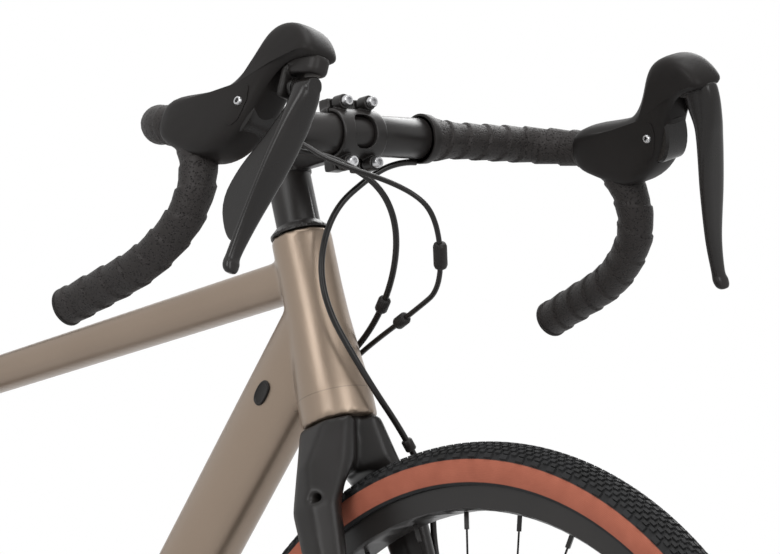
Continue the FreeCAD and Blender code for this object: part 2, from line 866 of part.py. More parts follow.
def hanger():
    """A tab under the right dropout with the derailleur's bolt hole."""
    far = across * hanger_thickness
    eye = cylinder(hanger_eye_radius, hanger_eye, hanger_eye + far)
    top = vec(rear_axle.x, hanger_eye.y, rear_axle.z)
    aim = unit(hanger_eye - top)
    neck = block((top + hanger_eye) / 2 + far / 2, aim, aim.cross(across), across, (hanger_eye - top).Length,
                 hanger_eye_radius * 2, hanger_thickness)
    hole = cylinder(hanger_bolt_radius, hanger_eye - across * cut_overrun, hanger_eye + far * 2)
    axle_hole = cylinder(axle_radius, top - across * cut_overrun, top + far * 2)
    return joined(eye, neck).cut([hole, axle_hole, mirrored(dropout())])


def bottle_holes():
    """Two threaded bottle holes in the down tube and two in the seat tube."""
    holes = []
    for step in (0, 1):
        along = down_boss_along + boss_spacing * step
        skin = bottom_bracket + down_tube_aim * along + down_tube_rise * down_tube_half_height(along)
        holes.append((skin, down_tube_rise))
        along = seat_boss_along + boss_spacing * step
        holes.append((bottom_bracket + seat_up * along - seat_back * seat_tube_radius, seat_back * -1))
    return [cylinder(boss_bore, skin - out * boss_depth, skin + out * cut_overrun) for skin, out in holes]


def port(side):
    """An oval rubber grommet let into the side of the down tube."""
    deep = side * (down_tube_half_width(port_along) - port_depth)
    centre = bottom_bracket + down_tube_aim * port_along + across * deep
    corner = port_width / 2 - running_gap
    loop = section(centre, down_tube_aim, down_tube_rise, box_shares, port_length, port_width, corner)
    return Part.Face(loop).extrude(across * (side * (port_depth + port_stand)))


def seat_clamp():
    """A split collar round the top of the seat tube."""
    top = bottom_bracket + seat_up * (seat_tube_length - seat_clamp_drop)
    low = top - seat_up * seat_clamp_height
    over = seat_up * cut_overrun
    outer = seat_tube_radius + seat_clamp_wall
    back = (top + low) / 2 + seat_back * outer
    lug = block(back, seat_back, across, seat_up, seat_clamp_lug * 2, seat_clamp_lug * 2, seat_clamp_height)
    slit = block(back, seat_back, across, seat_up, seat_clamp_lug * 4, seat_slot_width, seat_clamp_height * 2)
    collar = joined(cylinder(outer, low, top), lug)
    return collar.cut([cylinder(seat_tube_radius, low - over, top + over), slit])


def cup(side):
    """An outboard bottom bracket cup, screwed into the shell."""
    face = bottom_bracket + across * (side * shell_half_width)
    outer = face + across * (side * cup_flange_width)
    inner = face - across * (side * cup_depth)
    over = across * (side * cut_overrun)
    body = joined(cylinder(cup_flange_radius, face, outer), cylinder(shell_bore, inner, face))
    return body.cut(cylinder(crank_axle_radius + running_gap, inner - over, outer + over))


def frame():
    top = top_tube()
    holes = bottle_holes()
    ports = [port(side) for side in both_sides]
    keep("head_tube", head_tube())
    keep("top_tube", top)
    keep("down_tube", down_tube().cut([head_envelope(), seat_envelope(), shell_envelope(), top] + holes + ports))
    keep("seat_tube", seat_tube().cut(holes))
    keep("bottom_bracket_shell", bottom_bracket_shell())
    drops = [dropout(), mirrored(dropout()), hanger()]
    keep("rear_dropouts", *drops)
    chain_left = chainstay().cut([shell_envelope(), seat_envelope(), drops[0]])
    seat_left = seatstay().cut([seat_envelope(), drops[0]])
    keep("rear_stays", chain_left, mirrored(chain_left), seat_left, mirrored(seat_left))
    keep("frame_fittings", seat_clamp(), *ports, *[cup(side) for side in both_sides])


# Fork, headset top and stem


def fork_leg():
    """The left half of crown and leg, lofted from the broad crown to the tip."""
    wires = []
    for height, inner, outer, deep, forward in fork_leg_shares:
        width = (outer - inner) * fork_half_width
        centre = steer_point(-height * fork_height, forward * fork_offset, (outer + inner) / 2 * fork_half_width)
        wires.append(oval(centre, across, steer_ahead, width, deep * fork_depth))
    eye = cylinder(fork_eye_radius, front_axle + across * front_hub_half, front_axle + across * fork_half_width)
    return joined(loft(wires), eye)


def tyre_arch():
    """The space that crown and legs leave for the tyre."""
    radius = tyre_radius + fork_arch_gap
    half = fork_arch_half_width
    points = [front_axle + across * y + upward * r
              for y, r in ((-half, rim_bed_radius), (-half, radius), (half, radius), (half, rim_bed_radius))]
    return Part.Face(eased_loop(points, fork_arch_corner)).revolve(front_axle, across, 360)


def steerer():
    """A tapered steerer tube, broad at the crown and open at the top."""
    top = stem_top - steerer_top_gap
    base = steerer_base_height
    profile = [(0, -headset_gap), (steerer_base_radius, -headset_gap), (steerer_base_radius, base),
               (steerer_radius, base + steerer_taper_height), (steerer_radius, top), (steerer_bore, top),
               (steerer_bore, steerer_floor), (0, steerer_floor)]
    return spun(profile, crown, steer_up, steer_ahead)


def fork():
    leg = fork_leg()
    port_at = steer_point(-fork_port_drop, fork_port_ahead, -fork_half_width)
    port_hole = cylinder(fork_port_radius, port_at, port_at + across * fork_half_width)
    reach = across * (fork_half_width + cut_overrun)
    axle_bore = cylinder(axle_radius, front_axle - reach, front_axle + reach)
    body = joined(leg, mirrored(leg), steerer())
    keep("fork", body.cut([tyre_arch(), axle_bore, port_hole]))


def headset_top():
    """The headset's tapered cover with the spacers on it, and the steerer's top cap."""
    base = head_top + body_gap
    hole = steerer_radius
    profile = [(hole, base), (cover_radius, base), (cover_radius, base + cover_rim), (spacer_radius, base + cover_height),
               (spacer_radius, stem_base), (hole, stem_base)]
    cap = cylinder(top_cap_radius, steer_point(stem_top), steer_point(stem_top + top_cap_height))
    keep("headset_spacers", spun(profile, crown, steer_up, steer_ahead), cap)


def bar_space():
    return cylinder(bar_centre_radius, bar_centre - across * bar_half_width, bar_centre + across * bar_half_width)


def clamp_barrel():
    half = across * bar_clamp_half_width
    return cylinder(bar_clamp_radius, bar_centre - half, bar_centre + half)


def bolt_lug(y, rise):
    centre = bar_centre + across * (y * faceplate_bolt_y) + stem_rise * (rise * faceplate_bolt_rise)
    return block(centre, stem_ahead, across, stem_rise, faceplate_lug_depth * 2, faceplate_lug_width,
                 (faceplate_lug_rise - faceplate_bolt_rise) * 2)


def bolt_lugs():
    return [bolt_lug(y, rise) for y in both_sides for rise in both_sides]


def stem():
    """The steerer clamp, a rounded neck and the rear half of the bar clamp."""
    clamp = cylinder(stem_clamp_radius, steer_point(stem_base), steer_point(stem_top))
    neck = loft([section(at, across, stem_rise, box_shares, stem_neck_width, stem_neck_height, stem_neck_corner)
                 for at in (stem_foot, bar_centre)])
    pinch = block(stem_foot - steer_ahead * pinch_lug_back, steer_ahead, across, steer_up, pinch_lug_depth * 2,
                  pinch_lug_depth * 2, stem_clamp_height)
    front = block(bar_centre + stem_ahead * bar_clamp_radius, stem_ahead, across, stem_rise, bar_clamp_radius * 2,
                  bar_clamp_half_width * 4, bar_clamp_radius * 4)
    tube = cylinder(steerer_radius, steer_point(stem_base - cut_overrun), steer_point(stem_top + cut_overrun))
    whole = joined(clamp, clamp_barrel(), neck, pinch, *bolt_lugs())
    keep("stem", whole.cut([front, bar_space(), tube]))


def faceplate():
    """The front half of the bar clamp, with an eased window and four bolt lugs."""
    behind = block(bar_centre + stem_ahead * (faceplate_gap - bar_clamp_radius * 2), stem_ahead, across, stem_rise,
                   bar_clamp_radius * 4, bar_clamp_half_width * 4, bar_clamp_radius * 4)
    loop = section(bar_centre, across, stem_rise, box_shares, faceplate_window_width, faceplate_window_height,
                   faceplate_window_width / 3)
    window = Part.Face(loop).extrude(stem_ahead * (bar_clamp_radius * 2))
    keep("stem_faceplate", joined(clamp_barrel(), *bolt_lugs()).cut([behind, bar_space(), window]))


# Handlebar, tape and hoods


def lever_point(forward, rise, out=0.0):
    """A point in the left hook's flared plane, or beside it."""
    slant = math.radians(bar_flare_angle)
    side = bar_half_width - rise * math.sin(slant) + out * math.cos(slant)
    return bar_centre + vec(forward, side, rise * math.cos(slant) + out * math.sin(slant))


lever_up = unit(lever_point(0, horn_rise) - lever_point(0, 0))
lever_out = unit(lever_point(0, 0, horn_rise) - lever_point(0, 0))


def wrapped_bar():
    """The taped left half of the bar: the end of the clamp part, its taper, and the swept grip."""
    centre = bar_centre_radius + tape_thickness
    grip = bar_grip_radius + tape_thickness
    edge = bar_centre + across * tape_start
    shoulder = bar_centre + across * bar_centre_half
    taper_end = bar_centre + across * bar_taper_end
    points = [taper_end, lever_point(0, 0), lever_point(hook_front, -hook_front_drop),
              lever_point(hook_bend, -hook_bend_drop), lever_point(-hook_end_back, -hook_end_drop)]
    tube = swept_bar(points, [bar_corner_radius, hook_front_radius, hook_bend_radius], grip, bar_side_count)
    return joined(cylinder(centre, edge, shoulder), cone(centre, grip, shoulder, taper_end), tube)


def handlebar():
    """The bare middle of the bar, and the end plugs."""
    middle = cylinder(bar_centre_radius, bar_centre - across * tape_start, bar_centre + across * tape_start)
    end = lever_point(-hook_end_back, -hook_end_drop)
    aim = unit(end - lever_point(hook_bend, -hook_bend_drop))
    plug = cylinder(bar_grip_radius + tape_thickness, end, end + aim * plug_flange)
    keep("handlebar", middle, plug, mirrored(plug))


def inset(points, distance):
    """The outline with every edge moved inward, in its own two coordinates."""
    count = len(points)
    area = sum(points[i - 1][0] * points[i][1] - points[i][0] * points[i - 1][1] for i in range(count))
    turn = 1 if area > 0 else -1
    moved = []
    for i in range(count):
        (ax, ay), (bx, by), (cx, cy) = points[i - 1], points[i], points[(i + 1) % count]
        first = math.atan2(by - ay, bx - ax)
        second = math.atan2(cy - by, cx - bx)
        half = (second - first + math.pi) % (2 * math.pi) - math.pi
        aim = first + half / 2 + turn * math.pi / 2
        reach = distance / math.cos(half / 2)
        moved.append((bx + math.cos(aim) * reach, by + math.sin(aim) * reach))
    return moved


lever_pivot = lever_point(lever_pivot_ahead, lever_pivot_rise)


def hood():
    """The left rubber hood: a rounded horn, and a hollow for the lever under its lip."""
    outline = [(a * lever_reach, b * horn_rise) for a, b in hood_shares]
    wires = []
    for out_share, edge_share in hood_layer_shares:
        level = inset(outline, hood_edge * edge_share)
        wires.append(sharp_loop([lever_point(a, b, out_share * hood_half_width) for a, b in level]))
    half = lever_half_width + body_gap
    room = lever_head_radius + body_gap * 2
    hollow = cylinder(room, lever_pivot - lever_out * half, lever_pivot + lever_out * half)
    mouth = block(lever_point((hollow_back + hollow_front) / 2, (hollow_foot + lever_pivot_rise) / 2), ahead, lever_out,
                  lever_up, hollow_front - hollow_back, half * 2, lever_pivot_rise - hollow_foot)
    return loft(wires).cut([hollow, mouth])


def lever_pin():
    length = lever_out * (lever_half_width + body_gap)
    return cylinder(lever_pin_radius, lever_pivot - length, lever_pivot + length)


def grips():
    grip = wrapped_bar()
    rubber = hood().cut(grip)
    keep("bar_tape", grip, mirrored(grip))
    keep("lever_hoods", rubber, mirrored(rubber), lever_pin(), mirrored(lever_pin()))


# Levers, built on the left and mirrored where they belong to the right


def lever_carrier():
    """A head on the lever pin, a roof under the hood's lip and a wall behind the blade."""
    half = lever_out * lever_half_width
    head = cylinder(lever_head_radius, lever_pivot - half, lever_pivot + half)
    roof_mid = lever_point((lever_wall_back + lever_roof_front) / 2, lever_roof_rise - lever_roof_thickness / 2)
    roof = block(roof_mid, ahead, lever_out, lever_up, lever_roof_front - lever_wall_back, lever_half_width * 2,
                 lever_roof_thickness)
    wall_mid = lever_point(lever_wall_back + lever_wall_thickness / 2, (lever_roof_rise + lever_wall_foot) / 2)
    wall = block(wall_mid, ahead, lever_out, lever_up, lever_wall_thickness, lever_half_width * 2,
                 lever_roof_rise - lever_wall_foot)
    bore = cylinder(lever_pin_radius + running_gap, lever_pivot - half * 2, lever_pivot + half * 2)
    return joined(head, roof, wall).cut(bore)


def blade():
    """The curved finger blade, broad above and turned outward to a slim hooked tip."""
    wires = []
    for forward, rise, out, wide, deep in blade_shares:
        centre = lever_point(forward * lever_reach, rise * blade_drop, out * blade_outset)
        depth = deep * blade_depth
        wires.append(section(centre, lever_out, ahead, box_shares, wide * blade_width, depth,
                             depth * blade_corner_share))
    return loft(wires)


swing_wall = lever_wall_back + lever_wall_thickness


def swing_cylinder(radius, start, end):
    return cylinder(radius, lever_point(start, swing_pin_rise), lever_point(end, swing_pin_rise))


def levers():
    carrier = lever_carrier()
    pin = swing_cylinder(lever_pin_radius, swing_wall - lever_wall_thickness / 2, swing_pin_end)
    eye_end = swing_wall + body_gap + paddle_hub_width
    hub_end = swing_pin_end + body_gap
    pin_bore = swing_cylinder(lever_pin_radius + running_gap, swing_wall - cut_overrun, swing_pin_end + body_gap / 2)
    knuckle = swing_cylinder(swing_hub_radius, eye_end + body_gap, hub_end)
    outline = [lever_point(a * lever_reach, b * blade_drop, -paddle_thickness / 2) for a, b in paddle_shares]
    leaf = plate(outline, paddle_corner, lever_out * paddle_thickness)
    eye = swing_cylinder(swing_hub_radius, swing_wall + body_gap, eye_end)
    keep("right_lever_carrier", mirrored(joined(carrier, pin)))
    keep("right_brake_blade", mirrored(joined(blade(), knuckle).cut(pin_bore)))
    keep("right_shift_paddle", mirrored(joined(leaf, eye).cut(pin_bore)))
    keep("left_brake_lever", joined(carrier, blade(), swing_cylinder(swing_hub_radius, swing_wall, hub_end)))


# Seatpost and saddle

post_top = bottom_bracket + seat_up * (seat_tube_length + post_exposed)
rail_level = post_top.z + post_head_radius + rail_radius


def saddle_point(forward, side, rise):
    return vec(post_top.x + forward, side, rail_level + rise)


def saddle_rails():
    rise = saddle_above_rail
    left = [saddle_point(rail_nose_ahead, rail_nose_y, rise), saddle_point(rail_flat_half, rail_half_gap, 0),
            saddle_point(-rail_flat_half, rail_half_gap, 0), saddle_point(-rail_tail_back, rail_tail_y, rise)]
    rail = swept_bar(left, easy_radii(left), rail_radius, rail_side_count)
    return [rail, mirrored(rail)]


def seatpost():
    """The post with its head, and two clamp plates that hold the saddle rails."""
    low = bottom_bracket + seat_up * (seat_tube_length - post_insert)
    head = cylinder(post_head_radius, post_top - across * post_head_half, post_top + across * post_head_half)
    body = joined(cylinder(post_radius, low, post_top), head)
    plates = [block(saddle_point(0, 0, side * clamp_thickness / 2), ahead, across, upward, clamp_half_length * 2,
                    clamp_half_width * 2, clamp_thickness) for side in both_sides]
    keep("seatpost", body, *[half.cut(saddle_rails() + [body]) for half in plates])


def saddle():
    """A crowned cushion, narrow at the nose and broad behind, on a thin shell."""
    cushion = []
    edge = []
    for along, wide, high in saddle_station_shares:
        forward = saddle_nose_ahead - saddle_length * (1 - along)
        width = wide * saddle_width
        height = high * saddle_height
        corner = min(width, height) * saddle_corner_share
        centre = saddle_point(forward, 0, saddle_above_rail + saddle_shell_thickness + height / 2)
        cushion.append(section(centre, across, upward, saddle_section_shares, width, height, corner))
        edge.append((forward, width * saddle_shell_share / 2))
    outline = [saddle_point(x, y, saddle_above_rail) for x, y in edge]
    outline += [saddle_point(x, -y, saddle_above_rail) for x, y in reversed(edge)]
    rails = saddle_rails()
    keep("saddle", loft(cushion), prism(outline, upward * saddle_shell_thickness).cut(rails))
    keep("saddle_rails", *rails)


# Chain and toothed wheels


def pitch_radius(teeth):
    return chain_pitch / (2 * math.sin(math.pi / teeth))


def toothed_disc(centre, teeth, gap_angle, thickness):
    """A disc whose tooth gaps seat the chain's rollers; one gap is at the given angle."""
    radius = pitch_radius(teeth)
    root = radius - roller_radius - tooth_relief
    tip = radius + chain_pitch * tooth_height_share
    half = math.pi / teeth
    root_turn = chain_pitch * tooth_root_share / root
    points = []
    for i in range(teeth):
        gap = gap_angle + 2 * half * i
        for turn, at in ((-root_turn, root), (root_turn, root), (half, tip)):
            points.append(round_point(centre, gap + turn, at) - across * (thickness / 2))
    return prism(points, across * thickness)


ring_centre = bottom_bracket - across * chain_line
cog_centre = rear_axle - across * chain_line
guide_centre = cog_centre + vec(guide_pulley_ahead, 0, -guide_pulley_drop)
cage_aim = vec(math.sin(math.radians(cage_lean_angle)), 0, -math.cos(math.radians(cage_lean_angle)))
tension_centre = guide_centre + cage_aim * cage_length


def chain_route():
    """The four wheels in the chain's order: centre, teeth, and the side on which the chain passes."""
    return [(ring_centre, chainring_tooth_count, -1), (tension_centre, pulley_tooth_count, -1),
            (guide_centre, pulley_tooth_count, 1), (cog_centre, sprocket_tooth_counts[engaged_sprocket_index], -1)]


def tangent_points(first, second):
    """Where the chain leaves one wheel and meets the next."""
    start, start_teeth, start_side = first
    end, end_teeth, end_side = second
    along = unit(end - start)
    left = vec(-along.z, 0, along.x)
    start_set = start_side * pitch_radius(start_teeth)
    end_set = end_side * pitch_radius(end_teeth)
    lean = (end_set - start_set) / (end - start).Length
    normal = along * lean + left * math.sqrt(1 - lean**2)
    return start - normal * start_set, end - normal * end_set


def chain_stretches():
    """Wrapped and straight stretches in turn: length in pitches, and the place at a share of it."""
    route = chain_route()
    runs = [tangent_points(wheel_here, route[(i + 1) % len(route)]) for i, wheel_here in enumerate(route)]
    wraps = []
    lines = []
    for i, (centre, teeth, side) in enumerate(route):
        meet = runs[i - 1][1] - centre
        leave = runs[i][0] - centre
        start = math.atan2(meet.z, meet.x)
        turn = (math.atan2(leave.z, leave.x) - start) * side % (2 * math.pi)
        wraps.append((turn * teeth / (2 * math.pi), centre, pitch_radius(teeth), start, turn * side))
        lines.append(((runs[i][1] - runs[i][0]).Length / chain_pitch, runs[i]))
    return wraps, lines


def chain_pins():
    """Pin places all round, with the straight runs taking up the odd share of a link."""
    wraps, lines = chain_stretches()
    wrapped = sum(wrap[0] for wrap in wraps)
    straight = sum(line[0] for line in lines)
    stretch = (2 * round((wrapped + straight) / 2) - wrapped) / straight
    pins = []
    start = 0.0
    for (turns, centre, radius, angle, turn), (pitches, (line_start, line_end)) in zip(wraps, lines):
        for number in range(math.ceil(start), math.ceil(start + turns)):
            pins.append(round_point(centre, angle + turn * (number - start) / turns, radius))
        start += turns
        span = pitches * stretch
        for number in range(math.ceil(start), math.ceil(start + span)):
            pins.append(line_start + (line_end - line_start) * ((number - start) / span))
        start += span
    return pins


def link_plate(first, second, side, inner):
    """One long link plate on one side of the chain's middle."""
    along = unit(second - first)
    up = vec(-along.z, 0, along.x)
    middle = (first + second) / 2 + across * (side * (inner + plate_thickness / 2))
    length = (second - first).Length + plate_half_height * 2
    return block(middle, along, up, across, length, plate_half_height * 2, plate_thickness)


def chain():
    """Inner links with their rollers, and the outer plates that lap over them."""
    pins = chain_pins()
    width = across * chain_inner_half
    for i, pin in enumerate(pins):
        after = pins[(i + 1) % len(pins)]
        if i % 2:
            outer_half = chain_inner_half + plate_thickness
            keep("chain", *[link_plate(pin, after, side, outer_half) for side in both_sides])
        else:
            rollers = [slim_bar(roller_radius, 6, at - width, at + width) for at in (pin, after)]
            sides = [link_plate(pin, after, side, chain_inner_half) for side in both_sides]
            keep("chain", joined(*sides, *rollers))


def meshed_gap(centre, teeth):
    """The angle of a tooth gap under the pin in the middle of this wheel's wrap."""
    held = [p - centre for p in chain_pins() if abs((p - centre).Length - pitch_radius(teeth)) < tooth_relief]
    middle = held[len(held) // 2]
    return math.atan2(middle.z, middle.x)


def ring_bolt_places():
    turns = [math.pi / spider_arm_count * (2 * i + 1) for i in range(spider_arm_count)]
    return [round_point(ring_centre, turn, ring_bolt_circle) for turn in turns]


def chainring():
    """A single toothed ring with inward tabs for its bolts."""
    half = across * (ring_thickness / 2)
    disc = toothed_disc(ring_centre, chainring_tooth_count, meshed_gap(ring_centre, chainring_tooth_count), ring_thickness)
    hole = cylinder(ring_inner_radius, ring_centre - half * 2, ring_centre + half * 2)
    tabs = [cylinder(ring_tab_radius, at - half, at + half) for at in ring_bolt_places()]
    keep("chainring", joined(disc.cut(hole), *tabs))


def splined(start, end):
    """The outside of the freehub body, which the sprockets fit."""
    return prism(many_sided(sprocket_bore, sprocket_spline_count, start, unit(end - start)), end - start)


def cassette():
    """The sprockets on a freehub body, with the lock ring outside."""
    last = len(sprocket_tooth_counts) - 1 - engaged_sprocket_index
    inner = cog_centre + across * (last * sprocket_pitch + sprocket_thickness / 2)
    outer = cog_centre - across * (engaged_sprocket_index * sprocket_pitch + sprocket_thickness / 2)
    over = across * cut_overrun
    hole = splined(outer - over, inner + over)
    for i, teeth in enumerate(sprocket_tooth_counts):
        centre = cog_centre + across * ((i - engaged_sprocket_index) * sprocket_pitch)
        gap = meshed_gap(cog_centre, teeth) if i == engaged_sprocket_index else 0.0
        keep("cassette", toothed_disc(centre, teeth, gap, sprocket_thickness).cut(hole))
    core_end = rear_axle - across * (rear_hub_half - hub_cap_width)
    bore = cylinder(axle_radius + running_gap, outer - over, inner + over)
    keep("cassette", splined(core_end, inner).cut(bore))
    keep("cassette", ring(sprocket_bore + lockring_width, hub_cap_radius + body_gap, outer - across * lockring_width,
                          outer))


# Cranks and pedals


def crank_arm(side, aim):
    """A tapered arm from the axle boss to the pedal eye, and the eye's centre."""
    thick = across * (side * crank_thickness)
    start = bottom_bracket + across * (side * crank_face_y) - thick
    boss_face = bottom_bracket + across * (side * (shell_half_width + cup_flange_width + body_gap))
    boss = cylinder(crank_boss_radius, boss_face, boss_face + across * (side * crank_boss_width))
    eye_at = start + aim * crank_length
    eye = cylinder(crank_eye_radius, eye_at, eye_at + thick)
    up = aim.cross(across)
    corners = [start + up * crank_boss_radius, eye_at + up * (crank_waist / 2), eye_at - up * (crank_waist / 2),
               start - up * crank_boss_radius]
    cap = cylinder(crank_boss_radius, start, start + thick)
    return joined(boss, eye, prism(corners, thick), cap), eye_at + thick


def spider():
    """Arms that carry the chainring against their inner faces."""
    face = ring_centre - across * (ring_thickness / 2)
    thick = across * -spider_thickness
    parts = []
    for at in ring_bolt_places():
        place = at - across * (ring_thickness / 2)
        along = unit(place - face)
        parts.append(block((place + face) / 2 + thick / 2, along, along.cross(across), across, (place - face).Length,
                           spider_arm_width, spider_thickness))
        parts.append(cylinder(spider_arm_width / 2, place, place + thick))
    return parts


def pedal(face, side):
    """A flat cage pedal: a core on the spindle, two cross rails and two end plates."""
    out = across * side
    start = face + out * pedal_clearance
    middle = start + out * (pedal_width / 2)
    parts = []
    for end in both_sides:
        rail_at = middle + ahead * (end * (pedal_length - pedal_rail) / 2)
        parts.append(block(rail_at, ahead, across, upward, pedal_rail, pedal_width, pedal_height))
        plate_at = middle + across * (end * (pedal_width - pedal_rail) / 2)
        parts.append(block(plate_at, ahead, across, upward, pedal_length, pedal_rail, pedal_height))
    core = cylinder(pedal_core_radius, start, start + out * pedal_width)
    bore = cylinder(pedal_spindle_radius + running_gap, face, start + out * (pedal_width + cut_overrun))
    return joined(core, *parts).cut(bore)


def cranks():
    right, right_face = crank_arm(-1, ahead)
    left, left_face = crank_arm(1, ahead * -1)
    reach = across * (shell_half_width + cup_flange_width + body_gap + crank_boss_width / 2)
    axle = cylinder(crank_axle_radius, bottom_bracket - reach, bottom_bracket + reach)
    keep("crank_arms", joined(right, axle, *spider()))
    keep("crank_arms", left.cut(cylinder(crank_axle_radius, bottom_bracket, bottom_bracket + reach)))
    for side, face, name in ((-1, right_face, "right_pedal"), (1, left_face, "left_pedal")):
        keep("crank_arms", cylinder(pedal_spindle_radius, face, face + across * (side * pedal_spindle_length)))
        keep(name, pedal(face, side))


# Rear derailleur

link_axis = vec(0, math.sin(math.radians(link_tilt_angle)), math.cos(math.radians(link_tilt_angle)))
link_in = link_axis.cross(ahead)
moving_pivot = vec(guide_centre.x, -knuckle_y, guide_centre.z)
fixed_pivot = moving_pivot - ahead * link_length


def link(side):
    """One parallelogram link: a flat bar bored for a pin at each end."""
    full = link_axis * (link_half_width * 2)
    low = link_in * (side * link_half_gap) - full / 2
    ends = [fixed_pivot + low, moving_pivot + low]
    bar = block((ends[0] + ends[1] + full) / 2, ahead, link_in, link_axis, link_length + link_end_radius * 2,
                link_end_radius * 2, link_half_width * 2)
    waist = block((ends[0] + ends[1] + full) / 2 - link_in * (side * link_thickness), ahead, link_in, link_axis,
                  link_length - link_end_radius * 2, link_end_radius * 2, link_half_width * 4)
    bores = [cylinder(link_pin_radius + running_gap, at - full, at + full * 2) for at in ends]
    return bar.cut([waist] + bores)


def knuckle(pivot, away):
    """Ears above and below both links, their pins, and a web beyond the link ends."""
    ear_at = link_half_width + body_gap + knuckle_ear / 2
    reach = knuckle_web_gap + knuckle_web + link_end_radius
    width = (link_half_gap + link_end_radius) * 2
    ear_mid = pivot + ahead * (away * (reach / 2 - link_end_radius))
    web_mid = pivot + ahead * (away * (knuckle_web_gap + knuckle_web / 2))
    parts = [block(web_mid, ahead, link_in, link_axis, knuckle_web, width, ear_at * 2 + knuckle_ear)]
    for side in both_sides:
        parts.append(block(ear_mid + link_axis * (side * ear_at), ahead, link_in, link_axis, reach, width, knuckle_ear))
        pin_at = pivot + link_in * (side * link_half_gap)
        parts.append(cylinder(link_pin_radius, pin_at - link_axis * ear_at, pin_at + link_axis * ear_at))
    return joined(*parts)


def derailleur_base():
    """The fixed knuckle: a bolted boss on the hanger and an arm back to the link pins."""
    boss = cylinder(knuckle_boss_radius, hanger_eye, hanger_eye - across * knuckle_boss_length)
    bolt = cylinder(hanger_bolt_radius, hanger_eye, hanger_eye + across * hanger_thickness)
    start = hanger_eye - across * (knuckle_boss_length / 2)
    end = vec(fixed_pivot.x - knuckle_web_gap - knuckle_web / 2, start.y, fixed_pivot.z)
    elbow = end + upward * knuckle_elbow_rise
    arms = []
    for first, second, wide in ((start, elbow, knuckle_boss_radius), (elbow, end, knuckle_web)):
        aim = unit(second - first)
        arms.append(block((first + second) / 2, aim, aim.cross(across), across, (second - first).Length, wide,
                          knuckle_boss_length))
    bend = cylinder(knuckle_web / 2, elbow - across * (knuckle_boss_length / 2), elbow + across * (knuckle_boss_length / 2))
    return joined(knuckle(fixed_pivot, -1), boss, bolt, bend, *arms)


cage_face = guide_centre - across * (cage_plate_gap + cage_plate_thickness)


def moving_knuckle():
    """The moving knuckle: link pins, and a boss that takes the cage's spigot."""
    near = cage_face - across * body_gap
    far = near - across * (cage_spigot_length + body_gap)
    boss = cylinder(knuckle_boss_radius, near, far)
    web = ahead * (knuckle_web_gap + knuckle_web / 2)
    width = (near - far).Length
    shelf = block((near + far) / 2 + web / 2, ahead, across, upward, web.Length + knuckle_web, width,
                  knuckle_boss_radius)
    reach = abs(moving_pivot.y - near.y)
    bridge = block(vec(near.x, near.y - reach / 2, near.z) + web, ahead, across, upward, knuckle_web, reach,
                   knuckle_boss_radius)
    bore = cylinder(cage_spigot_radius + running_gap, near + across * cut_overrun,
                    cage_face - across * (cage_spigot_length + running_gap))
    return joined(knuckle(moving_pivot, 1), bridge, shelf, boss).cut(bore)


def cage():
    """Two long plates joined by the pulley pins, with a spigot in the moving knuckle."""
    parts = []
    for side in both_sides:
        inner = across * (side * cage_plate_gap)
        thick = across * (side * cage_plate_thickness)
        middle = (guide_centre + tension_centre) / 2 + inner + thick / 2
        across_cage = cage_aim.cross(across)
        length = cage_length + cage_half_width * 2
        width = cage_half_width * 2
        corners = [middle - thick / 2 + cage_aim * (a * length) + across_cage * (b * width) for a, b in box_shares]
        parts.append(plate(corners, cage_half_width / 2, thick))
    full = across * cage_plate_gap
    parts += [cylinder(pulley_pin_radius, at - full, at + full) for at in (guide_centre, tension_centre)]
    return joined(*parts, cylinder(cage_spigot_radius, cage_face, cage_face - across * cage_spigot_length))


def derailleur():
    keep("derailleur_base", derailleur_base())
    keep("derailleur_outer_link", link(-1))
    keep("derailleur_inner_link", link(1))
    keep("derailleur_moving_knuckle", moving_knuckle())
    keep("derailleur_cage", cage())
    half = across * pulley_thickness
    for name, centre in (("upper_pulley", guide_centre), ("lower_pulley", tension_centre)):
        disc = toothed_disc(centre, pulley_tooth_count, meshed_gap(centre, pulley_tooth_count), pulley_thickness)
        keep(name, disc.cut(cylinder(pulley_pin_radius + running_gap, centre - half, centre + half)))


# Brakes


def caliper(centre, aim, foot):
    """A caliper over the rotor's edge: a rounded block on its foot, slotted for rotor and pads."""
    along = aim.cross(across)
    low = centre - across * caliper_half_width
    corners = [low + along * (a * caliper_length) + aim * (b * caliper_depth) for a, b in box_shares]
    body = plate(corners, caliper_corner, across * (caliper_half_width * 2))
    slot = block(centre - aim * (caliper_depth / 4), along, across, aim, caliper_length * 2, caliper_slot_half * 2,
                 caliper_depth)
    return joined(body.cut(slot), foot)


def caliper_foot(centre, toward, reach):
    """The block between a caliper's outer half and the leg or stay that carries it."""
    low = caliper_slot_half + caliper_foot_gap
    middle = centre + toward * (reach / 2) + across * (low + caliper_foot_width / 2)
    return block(middle, toward, across, toward.cross(across), reach, caliper_foot_width, caliper_foot_length)


def pads(name, centre, aim):
    """Two pads, each a little off the rotor."""
    for side, word in ((1, "left"), (-1, "right")):
        out = side * (rotor_thickness / 2 + pad_rest_gap + pad_thickness / 2)
        at = centre + across * out - aim * (caliper_depth / 4)
        keep(name + "_" + word + "_pad", block(at, aim.cross(across), across, aim, pad_half_length * 2, pad_thickness,
                                               pad_half_depth * 2))


def largest(shape):
    return max(shape.Solids, key=lambda solid: solid.Volume)


def brake(name, axle, rotor_y, aim, toward, reach, carriers):
    centre = axle + aim * caliper_radius + across * rotor_y
    body = caliper(centre, aim, caliper_foot(centre, toward, reach))
    keep(name + "_brake_caliper", largest(body.cut(carriers)))
    pads(name, centre, aim)


